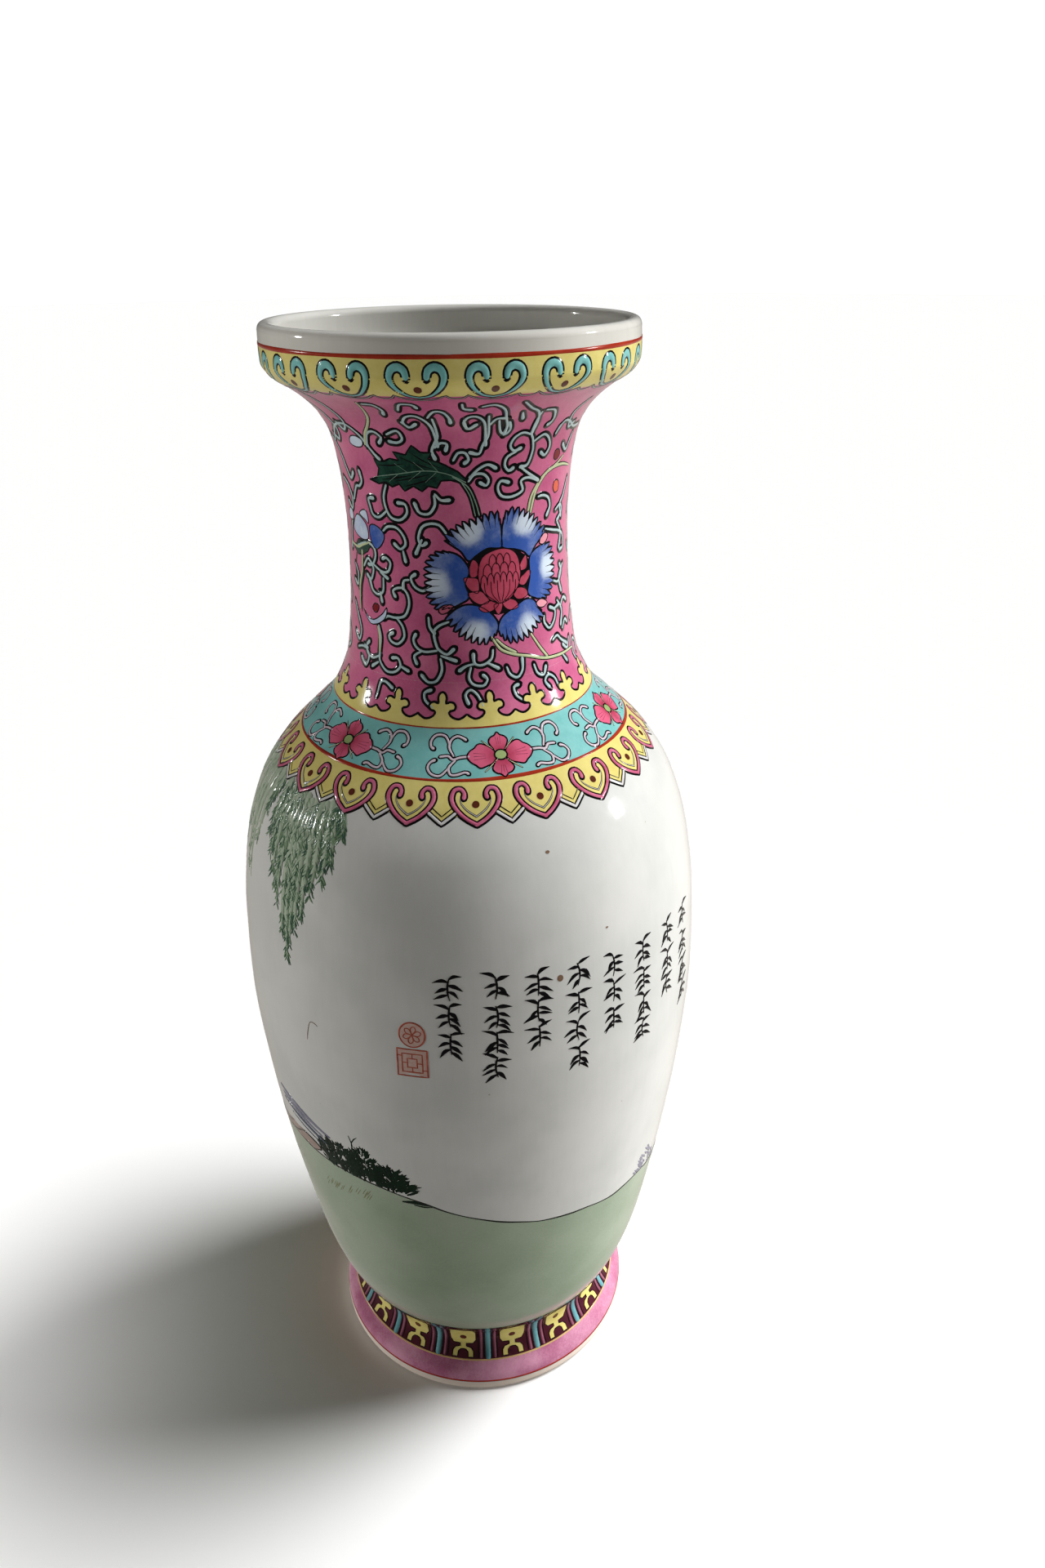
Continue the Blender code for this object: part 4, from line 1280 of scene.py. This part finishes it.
# ------------------------------------------------------------------ Neck flower, leaf and stems
# One large fringed blue flower with a rose heart, a dark green saw-edged leaf above it on the left,
# pale green stems, and small buds of blue, red and orange; painted on the front and on the back.
PETALS = (
    ((21, 390.2), (21, 394.4), (20.5, 398.2), (19, 402.4), (16, 402.6), (10.5, 401.6), (5.5, 400.4),
     (1, 399.4), (-4, 397), (-7.5, 394.4), (-3.5, 392), (1, 389.6), (4.5, 386.4), (8.5, 388.2), (14, 390.2)),
    ((21.5, 390.2), (21.5, 394.4), (22, 398.2), (24, 402.6), (28.5, 403.2), (32.5, 402.2), (37.5, 400.8),
     (42.5, 398), (46.5, 395.2), (49.5, 393.2), (44.5, 390.4), (40, 388), (37, 385.4), (33.5, 387.4),
     (28.5, 388.8)),
    ((37, 384.4), (40, 386.8), (46, 388.2), (51, 388.6), (54.5, 386), (56, 382.6), (56.5, 379.6),
     (56, 375.8), (54, 372), (51, 369.2), (46, 368.8), (40, 370.2), (35.5, 372.6), (37, 378.2)),
    ((18, 362), (20.5, 365.8), (26.5, 368.2), (33.5, 370.4), (38.5, 369.6), (42, 366.4), (45.5, 363),
     (42, 360.2), (37.5, 358), (33.5, 356.6), (28.5, 355.8), (23.5, 356.2), (19.5, 358.6)),
    ((17.5, 364.4), (17.5, 361.4), (15, 358.2), (11, 356.6), (6.5, 357.2), (1.5, 358.8), (-3.5, 361.6),
     (-8, 366.4), (-3.5, 369.2), (2.5, 371), (8.5, 370.4), (13.5, 368.2)),
    ((4.5, 382.6), (2.5, 386), (-1.5, 388.6), (-8.5, 389.8), (-12.5, 389.2), (-16, 387), (-17.5, 383.2),
     (-17.5, 379.6), (-17.5, 375.8), (-16, 372.6), (-12.5, 369.6), (-6.5, 369.8), (-1, 371.4), (4, 373.8),
     (2.5, 378.2)),
)
HEART = (20.0, 380.0)
petal_blue = enamel("petal_blue", srgb(50, 86, 168), srgb(206, 220, 236), 0.15, 0.6, 120.0)
petals = Brush("flower_petals", petal_blue, "neck_enamel", 0.14)
flower_ink = Brush("flower_ink", ink, "neck_enamel", 0.12)
flower_lines = Brush("flower_lines", ink, "neck_enamel", 0.20)
core = Brush("flower_heart", enamel("heart_rose", srgb(158, 40, 66), srgb(206, 92, 118), 0.16, 0.6),
             "neck_enamel", 0.15)
under_core = Brush("flower_heart_ground", ink, "neck_enamel", 0.13)


def fringe(outline, bite=3.3, tooth=2.5):
    """The outer edge of a petal cut into teeth, and the notches; near the heart it stays smooth."""
    smooth = softened(outline, 0.4)
    reaches = [across(HEART, p).length for p in smooth]
    far, near = max(reaches), min(reaches)
    cut, notches, run = [], [], 0.0
    for i, (p, reach) in enumerate(zip(smooth, reaches)):
        run += across(smooth[i - 1], p).length if i else 0.0
        outness = min(max((reach - near) / (far - near) * 2.4 - 1.1, 0.0), 1.0)
        turn = (run / tooth) % 1.0
        depth = (1.0 - abs(2.0 * turn - 1.0)) ** 1.4 * bite * outness
        inward = across(p, HEART).normalized()
        cut.append(shifted(p, inward * depth))
        if depth > 0.86 * bite and (not notches or across(notches[-1][0], cut[-1]).length > 1.2):
            notches.append((cut[-1], shifted(cut[-1], inward * 2.6)))
    return cut, notches


def petal_colour(outline):
    """A pale streak in the outer middle of a petal, blue at the heart and along its sides."""
    mid = (sum(p[0] for p in outline) / len(outline), sum(p[1] for p in outline) / len(outline))
    half = max(across(mid, p).length for p in outline)
    reach = across(HEART, mid).length
    axis = across(HEART, mid).normalized()

    def tone(p):
        out = across(HEART, p).length / reach
        side = across(mid, p)
        sideways = (side.x * axis.y - side.y * axis.x) / half
        streak = 1.0 - ((out - 1.16) / 0.34) ** 2 - ((sideways + 0.12) / 0.52) ** 2
        return 0.28 * min(out, 1.0) ** 2 + 0.62 * max(0.0, streak)
    return tone


LEAF = ((-43.5, 412.2), (-38.5, 413.4), (-37.0, 416.4), (-39.0, 419.4), (-34.0, 418.8), (-30.0, 420.0),
        (-25.5, 419.6), (-27.8, 422.4), (-22.0, 421.6), (-18.6, 424.8), (-15.0, 422.6), (-10.2, 422.6),
        (-12.0, 420.6), (-8.0, 419.6), (-4.5, 418.4), (0.5, 416.4), (4.5, 413.6), (2.0, 412.6),
        (-2.5, 413.6), (-7.0, 413.4), (-9.0, 411.0), (-13.0, 411.6), (-16.0, 409.8), (-20.0, 411.4),
        (-24.5, 409.6), (-27.0, 411.8), (-31.0, 410.6), (-34.0, 412.0), (-38.5, 411.2))
LEAF_SHADE = (((-37, 417.5), (-30, 417.8), (-24, 418.6)),
              ((-28, 412.8), (-20, 414.0), (-12, 415.4)),
              ((-24, 411.2), (-16, 412.8), (-9, 414.6)),
              ((-36, 412.8), (-28, 413.8), (-20, 415.0)),
              ((-20, 422.6), (-14, 419.8), (-7, 417.6)),
              ((-25, 420.8), (-18, 418.8), (-10, 417.2)))
LEAF_VEINS = (
    ((-40, 413.4, 0.5), (-28, 415.0), (-14, 416.6), (-4, 415.6), (4, 412.8)),
    ((-14, 416.6, 0.6), (-19, 419.4, 0.3)), ((-22, 415.8, 0.6), (-28, 418.6, 0.3)),
    ((-8, 416.4, 0.6), (-12, 420.0, 0.3)), ((-16, 416.2, 0.6), (-22, 413.0, 0.3)),
    ((-9, 416.0, 0.6), (-14, 412.8, 0.3)), ((-27, 415.0, 0.6), (-32, 412.4, 0.3)),
)
LEAF_STALK = (
    (((-1.5, 414.6), (5, 411.2), (8.4, 406), (10.0, 401.8)), 1.2),
    (((2.5, 412.4), (6.0, 408), (8.2, 401.6)), 1.0),
)
CALYX = ((-66, 386), (-61, 389.6), (-54, 390.4), (-49.5, 388.6), (-52, 386.4), (-57, 384.6), (-62, 384.2))
leaf = Brush("neck_leaf", enamel("leaf_green", srgb(6, 34, 30), srgb(38, 82, 66), 0.17, 1.1, 260.0),
             "neck_enamel", 0.13)
veins = Brush("leaf_veins", enamel("vein_green", srgb(104, 136, 120), srgb(146, 172, 156)), "neck_enamel",
              0.17)
stems_ink = Brush("stem_ink", ink, "neck_enamel", 0.13)
stems = Brush("neck_stems", enamel("stem_green", srgb(168, 182, 138), srgb(206, 210, 172)), "neck_enamel",
              0.18)
buds_blue = Brush("neck_buds_blue", petal_blue, "neck_enamel", 0.15)
buds_pink = Brush("neck_buds_pink", enamel("bud_pink", srgb(190, 84, 116), srgb(226, 156, 170), 0.16, 0.5),
                  "neck_enamel", 0.15)
buds_red = Brush("neck_buds_red", enamel("bud_red", srgb(120, 26, 30), srgb(214, 96, 70), 0.16, 0.5),
                 "neck_enamel", 0.15)
STEMS = (
    ((14.5, 358.9, 0.8), (18.5, 354.5), (25, 352), (33.5, 350.1), (43.5, 347.6), (55, 346.4),
     (70, 345.7, 0.7)),
    ((16.8, 358.0, 0.8), (20.5, 355.2), (26, 352.6)),
    ((36, 357.6, 0.8), (41, 352), (45, 348.2)),
    ((37.5, 400.7), (39, 405), (41.5, 408.9), (46.5, 412.6), (53.5, 414.5), (60, 417, 0.6)),
    ((36, 401.4), (37.5, 405.8), (41, 409.5)),
    ((44, 411.6), (50, 413.8), (60, 414.2), (70, 412.6, 0.6)),
    ((-57.5, 385.8), (-58.5, 378.9), (-61.5, 372.6), (-61.5, 364.5, 0.5)),
    ((-70, 387.5, 0.7), (-62, 386.8), (-56, 388.4), (-50, 389.8, 0.7)),
    ((-45.8, 360.4, 0.6), (-44.2, 356.6), (-44.0, 352.0)),
    ((-33, 439, 0.6), (-33.2, 434.6), (-36, 431), (-40, 427.5, 1.2), (-42, 424.2)),
)

CORE_RING = (
    ((6.4, 386.6), (4.6, 383.4), (5.4, 380.6), (8.6, 381.2), (9.0, 385.0)),
    ((2.0, 380.4), (3.0, 377.8), (5.4, 375.8), (8.8, 375.2), (9.0, 379.4), (6.4, 380.4)),
    ((3.6, 374.9), (6.0, 372.4), (9.4, 371.0), (13.4, 371.4), (13.6, 373.0), (10.4, 375.4), (7.0, 375.6)),
    ((8.8, 369.8), (11.2, 368.2), (15.2, 368.4), (18.6, 370.4), (16.0, 371.8), (12.4, 371.6)),
    ((16.4, 370.4), (16.8, 368.4), (18.5, 366.8), (20.4, 368.8), (20.4, 370.8)),
    ((20.8, 371.0), (22.2, 368.8), (25.4, 367.8), (29.2, 368.4), (28.2, 370.6), (24.6, 371.8)),
    ((26.8, 373.2), (28.4, 371.4), (31.4, 371.0), (35.0, 372.0), (34.4, 374.0), (31.0, 375.2),
     (28.4, 374.8)),
    ((30.4, 376.4), (33.6, 375.8), (37.4, 379.4), (36.0, 380.6), (33.0, 379.4), (31.0, 378.4)),
    ((31.2, 381.0), (34.6, 381.4), (35.4, 383.6), (34.6, 386.0), (32.6, 384.8), (31.0, 383.0)),
)


HEART_GROUND = [(3.0, 380.0), (4.2, 386.0), (9.0, 388.2), (14.0, 390.0), (20.5, 391.2), (27.0, 390.0),
                (32.0, 387.2), (35.8, 385.0), (37.4, 379.0), (36.0, 373.0), (27.0, 368.6), (18.0, 366.8),
                (9.5, 369.6), (4.4, 373.0)]
HEART_GLOBE = [(9, 379.6), (9, 383.2), (11, 387), (15, 388.8), (20.5, 389.6), (26, 388.8), (29.5, 386.4),
               (31, 382.6), (31, 378.8), (29, 375.2), (25, 372), (20, 370.8), (15, 372), (11, 375.4)]
SCALE_ROWS = ((380.2, 10.0, 6), (383.6, 8.6, 4),
              (386.6, 5.6, 3))   # height, half width and count of each row
BUDS = (
    (buds_blue,
     0.22,
     [(-49, 395.5), (-46, 396.6), (-42.5, 396), (-39.4, 394.4), (-39.0, 392.4), (-41.5, 389.6), (-45, 388.2),
      (-47.6, 389.6), (-48.9, 392)]),
    (buds_blue,
     0.62,
     [(-64.5, 392.6), (-63.5, 395.6), (-60.5, 398.2), (-57.5, 398.6), (-53.5, 397.2), (-51, 395.2),
      (-50.4, 391.6), (-53, 390.4), (-59, 390.6)]),
    (buds_blue, 0.72, [(-56.5, 399.2), (-53, 400.9), (-50, 400.4), (-49.4, 396.6), (-52, 397.6)]),
    (buds_blue,
     0.80,
     [(-52.5, 423.6), (-51, 425.8), (-47, 426.4), (-43.4, 425.2), (-44.4, 423.2), (-48.6, 422.6)]),
    (buds_blue,
     0.60,
     [(-57.5, 364.9), (-53.5, 362.9), (-48.5, 362.6), (-42.5, 365.4), (-39.5, 368.0), (-40.5, 364.2),
      (-46.0, 361.4), (-52.0, 361.0)]),
    (buds_blue, 0.75, [(-70, 398), (-67, 400), (-64, 398.6), (-65, 396.0), (-69, 396)]),
    (buds_red, 0.15, [(51.4, 417.2), (51.8, 419.6), (54.6, 419.8), (56.2, 418.0), (53.6, 416.4)]),
    (buds_red,
     0.90,
     [(53.4, 407.0), (54.4, 409.0), (57.0, 409.2), (58.8, 407.6), (58.2, 405.4), (55.2, 405.0)]),
    (buds_red, 0.10, [(-49.6, 367.0), (-47.6, 368.6), (-44.8, 368.0), (-46.2, 365.6), (-48.6, 365.6)]),
    (buds_pink,
     0.70,
     [(44.0, 389.0), (45.6, 391.4), (48.6, 392.0), (50.6, 391.0), (49.4, 389.2), (46.4, 388.2)]),
    (buds_pink,
     0.90,
     [(40.6, 368.2), (43.6, 369.2), (46.8, 368.4), (48.6, 367.0), (45.6, 366.0), (42.2, 366.4)]),
    (buds_pink, 0.30, [(-11.0, 369.6), (-7.6, 371.2), (-3.6, 370.8), (-6.6, 368.6), (-9.8, 368.0)]),
)
for turn in (0.0, 180.0):
    for outline in PETALS:
        edge_line, notches = fringe(outline)
        shade = petal_colour(outline)
        petals.patch(at(turn, edge_line), lambda p: shade((p[0] - turn, p[1])), 1.1)
        flower_ink.stroke(closed(at(turn, edge_line)), 1.5, soft=False, step=0.6, lift=0.12)
        flower_lines.stroke(closed(at(turn, edge_line)), 0.55, soft=False, step=0.6, lift=0.18)
        for notch, deep in notches:
            flower_lines.stroke(at(turn, [(*notch, 1.0), (*deep, 0.2)]), 0.5, step=0.8, lift=0.18)
    under_core.patch(at(turn, softened(HEART_GROUND, 0.9)))
    for shape in CORE_RING:
        shape = softened(shape, 0.5)
        core.patch(at(turn, shape), cell=1.2)
        flower_lines.stroke(closed(at(turn, shape)), 0.5, soft=False, step=0.6, lift=0.18)
    globe = softened(HEART_GLOBE, 0.6)
    core.patch(at(turn, globe), cell=1.2, lift=0.17)
    flower_lines.stroke(closed(at(turn, globe)), 0.6, soft=False, step=0.6)
    for k in range(6):
        out = (k - 2.5) / 2.5
        crease = [(HEART[0] + out * 2.4, 371.4), (HEART[0] + out * 7.4, 374.4),
                  (HEART[0] + out * 8.2, 378.6 - 0.5 * out * out)]
        flower_lines.stroke(at(turn, crease), 0.5, step=0.7)
    for up, half, count in SCALE_ROWS:
        for k in range(count):
            mid = HEART[0] + half * (2.0 * (k + 0.5) / count - 1.0)
            width = half / count
            level = up - ((mid - HEART[0]) / 11.0) ** 2
            scale = [(mid + share * width, level + rise)
                     for share, rise in ((-1.0, -1.9), (-0.8, 0.2), (0.0, 1.4), (0.8, 0.2), (1.0, -1.9))]
            flower_lines.stroke(at(turn, scale), 0.6, step=0.6)
    leaf.patch(at(turn, LEAF), cell=1.4)
    stems_ink.stroke(closed(at(turn, LEAF)), 0.9, soft=False, lift=0.15)
    for low_end, middle_of_it, high_end in LEAF_SHADE:
        stems_ink.stroke(at(turn, [(*low_end, 0.3), middle_of_it, (*high_end, 0.3)]), 1.1, lift=0.15)
    for vein in LEAF_VEINS:
        veins.stroke(at(turn, vein), 0.5, step=0.9)
    for strand, wide in LEAF_STALK:
        stems_ink.stroke(at(turn, strand), wide + 1.3)
        veins.stroke(at(turn, strand), wide * 0.6)
    leaf.patch(at(turn, CALYX), cell=1.4)
    stems_ink.stroke(closed(at(turn, CALYX)), 0.8, soft=False, lift=0.15)
    stems_ink.stroke(at(turn, [(-58, 385.0), (-57.0, 379.0), (-60.0, 372.0), (-59.5, 364.0, 0.4)]), 2.6)
    stems_ink.stroke(at(turn, [(-64, 384.0, 0.6), (-66.0, 378.0), (-63.0, 371.0, 0.4)]), 1.8)
    for stem in STEMS:
        line = at(turn, stem)
        stems_ink.stroke(line, 2.2, step=0.8)
        stems.stroke(line, 1.2, step=0.8)
    for brush, deepness, shape in BUDS:
        bud = at(turn, softened(shape, 0.8))
        brush.patch(bud, lambda p: deepness, 1.4)
        stems_ink.stroke(closed(bud), 0.75, soft=False, step=0.8, lift=0.18)
for brush in (petals, flower_ink, flower_lines, core, under_core, leaf, veins, stems_ink, stems,
              buds_blue, buds_pink, buds_red):
    brush.fire()

# ------------------------------------------------------------------ Mouth border
# Seventeen pairs of turquoise hooks on yellow under the lip, with a scalloped lower edge lined in
# white and ink, and a dark red line that closes the border under the lip.
MOUTH_PHASE = -9.6
LOBE = 7.3   # half the width of the deep lobe, in degrees
mouth_yellow = Brush("mouth_yellow", yellow, "mouth_glaze", 0.08)


def scallop(angle):
    """Height of the scalloped edge: a deep lobe under each pair of hooks and a shallow one between."""
    away = ((angle - MOUTH_PHASE) / SEVENTEENTH + 0.5) % 1.0 - 0.5
    away = abs(away) * SEVENTEENTH
    if away < LOBE:
        return 440.8 + 1.6 * (away / LOBE) ** 3
    return 441.2 + 1.2 * ((10.59 - away) / 3.29) ** 3


mouth_yellow.belt(scallop, 453.2, 20, step=SEVENTEENTH / 20.0)
mouth_yellow.fire()
hook_ink = Brush("mouth_hook_ink", ink, "mouth_glaze", 0.11)
hooks = Brush("mouth_hooks", turquoise, "mouth_glaze", 0.16)
mouth_dots = Brush("mouth_dots", brown, "mouth_glaze", 0.14)
mouth_edge = Brush("mouth_edge_line", enamel("edge_grey", srgb(150, 140, 142), srgb(186, 178, 178)),
                   "mouth_glaze", 0.17)
mouth_red = Brush("mouth_red_line", iron_red, "mouth_glaze", 0.13)
HOOK = ((0.0, 441.6, 0.28), (3.4, 442.4, 0.35), (6.2, 444.8, 0.55), (7.3, 447.6, 0.8), (6.6, 450.0, 1.0),
        (4.8, 450.8, 1.0), (3.2, 449.8, 0.95), (2.8, 448.2, 0.85))
for k in range(17):
    here = MOUTH_PHASE + k * SEVENTEENTH
    for side in (-1.0, 1.0):
        outlined(hook_ink, hooks, at(here, HOOK, side), 2.8, 1.9)
    mouth_dots.patch(oval((here, 444.2), 1.15, 1.0))
scallops = [(k * SEVENTEENTH / 20.0, scallop(k * SEVENTEENTH / 20.0)) for k in range(17 * 20 + 1)]
hook_ink.stroke(scallops, 1.7, step=2.0, lift=0.13)
mouth_edge.stroke(scallops, 0.45, step=2.0)
mouth_red.stroke(ring(453.5, 0.12, 0.3), 1.45, step=3.0)
for brush in (hook_ink, hooks, mouth_dots, mouth_edge, mouth_red):
    brush.fire()

# ------------------------------------------------------------------ Table, light and camera
# A white table, a white wall all round it, a soft key on the right of the vase, weaker lamps that
# fill its front and its left, and a camera held a little above the lip.
def stage_mesh(name, verts, faces, paint, smooth=True):
    mesh = bpy.data.meshes.new(name)
    mesh.from_pydata(verts, [], faces)
    mesh.polygons.foreach_set("use_smooth", [smooth] * len(faces))
    mesh.materials.append(paint)
    thing = bpy.data.objects.new(name, mesh)
    thing.visible_diffuse = False
    thing.visible_glossy = False
    thing.visible_shadow = False
    bpy.context.scene.collection.objects.link(thing)
    return thing


bench = Bench("white_table")
paper = bench.cloud(bench.place(), 60.0)
bench.set(Base_Color=bench.blend(paper, (0.99, 0.99, 0.99), (0.97, 0.97, 0.97)), Roughness=1.0,
          Specular_IOR_Level=0.0)
TABLE = 12.0   # half the side of the table, far past the edges of any view
square = [(x * TABLE, y * TABLE, 0.0) for x, y in ((-1, -1), (1, -1), (1, 1), (-1, 1))]
stage_mesh("white_table", square, [(0, 1, 2, 3)], bench.paint)
bench = Bench("lit_backdrop")
paper = bench.cloud(bench.place(), 6.0)
bench.set(Base_Color=(0.9, 0.9, 0.9), Roughness=0.8, Emission_Strength=1.0,
          Emission_Color=bench.blend(paper, (1.0, 1.0, 1.0), (0.985, 0.985, 0.985)))
WALL_SIDES = 48
turns = [2.0 * math.pi * k / WALL_SIDES for k in range(WALL_SIDES)]
around = [(9.0 * math.sin(a), 9.0 * math.cos(a), z) for a in turns for z in (-0.5, 7.0)]
sheets = [[(2 * k + i) % len(around) for i in (0, 1, 3, 2)] for k in range(WALL_SIDES)]
stage_mesh("lit_backdrop", around, sheets, bench.paint)


def shining(kind, name, azimuth, elevation, power, size, distance=1.5, aim=(0.0, 0.0, 0.25),
            tint=(1.0, 1.0, 1.0)):
    """A lamp; azimuth in degrees from the front, growing to the right, as seen from the vase."""
    a, e = math.radians(azimuth), math.radians(elevation)
    way = Vector((math.sin(a) * math.cos(e), -math.cos(a) * math.cos(e), math.sin(e)))
    data = bpy.data.lights.new(name, kind)
    data.energy, data.color = power, tint
    if kind == "SUN":
        data.angle = math.radians(size)
    else:
        data.shape = "RECTANGLE"
        data.size, data.size_y = size
    thing = bpy.data.objects.new(name, data)
    thing.visible_glossy = kind != "SUN"
    thing.location = Vector(aim) + way * distance
    thing.rotation_euler = way.to_track_quat("Z", "Y").to_euler()
    bpy.context.scene.collection.objects.link(thing)
    return thing


shining("SUN", "key", 103.5, 47.0, 4.15, 28.0)
shining("SUN", "front_fill", 75.0, -10.0, 2.4, 26.0, tint=(1.0, 0.97, 0.92))
shining("SUN", "left_window", -85.0, -6.0, 2.1, 24.0, tint=(1.0, 0.975, 0.93))
shining("AREA", "table_bounce", 76.0, -6.0, 0.30, (0.30, 0.08), 0.27,
        (0.0, 0.0, 0.07)).visible_glossy = False
shadow_lift = shining("AREA", "shadow_lift", 0.0, 90.0, 0.13, (0.24, 0.24), 0.25, (-0.33, -0.075, 0.0))
shadow_lift.visible_glossy = False
shadow_lift.data.spread = math.radians(70.0)
shining("AREA", "right_glint", 88.0, 20.0, 5.0, (0.12, 0.16)).visible_diffuse = False
shining("AREA", "left_glint", -97.0, 14.0, 3.4, (0.05, 0.09)).visible_diffuse = False

# The room: nearly dark, but for the light that the table throws up from behind and from the right.
room = Bench("studio", "worlds", "Background")
way = room.place("Generated")
behind = room.between(room.height(way, 1), -0.15, 0.75)
rightward = room.between(room.height(way, 0), -0.5, 0.6, 0.45, 1.0)
below = room.between(room.height(way), 0.02, -0.25)
room.set(Color=(1.0, 0.93, 0.84), Strength=0.05 + below * rightward * (behind * 0.6 + 0.02))
bpy.context.scene.world = room.paint
bpy.context.scene.view_settings.view_transform = "Standard"

EYE_BACK = 0.8959 * HEIGHT
EYE_HIGH = 1.0613 * HEIGHT
YAW, PITCH, ROLL = math.radians(3.154), math.radians(26.632), math.radians(-0.643)
forward = Vector((math.sin(YAW) * math.cos(PITCH), math.cos(YAW) * math.cos(PITCH), -math.sin(PITCH)))
level = Vector((math.cos(YAW), -math.sin(YAW), 0.0))
upward = level.cross(forward)
right = math.cos(ROLL) * level + math.sin(ROLL) * upward
up = math.cos(ROLL) * upward - math.sin(ROLL) * level
camera_data = bpy.data.cameras.new("camera")
camera_data.sensor_width = 36.0
camera_data.lens = 25.70
camera_data.clip_start = 0.01
camera = bpy.data.objects.new("camera", camera_data)
from_axes = ((right.x, up.x, -forward.x), (right.y, up.y, -forward.y), (right.z, up.z, -forward.z))
camera.matrix_world = Matrix(from_axes).to_4x4()
camera.location = (0.0, -EYE_BACK, EYE_HIGH)
bpy.context.scene.collection.objects.link(camera)
bpy.context.scene.camera = camera
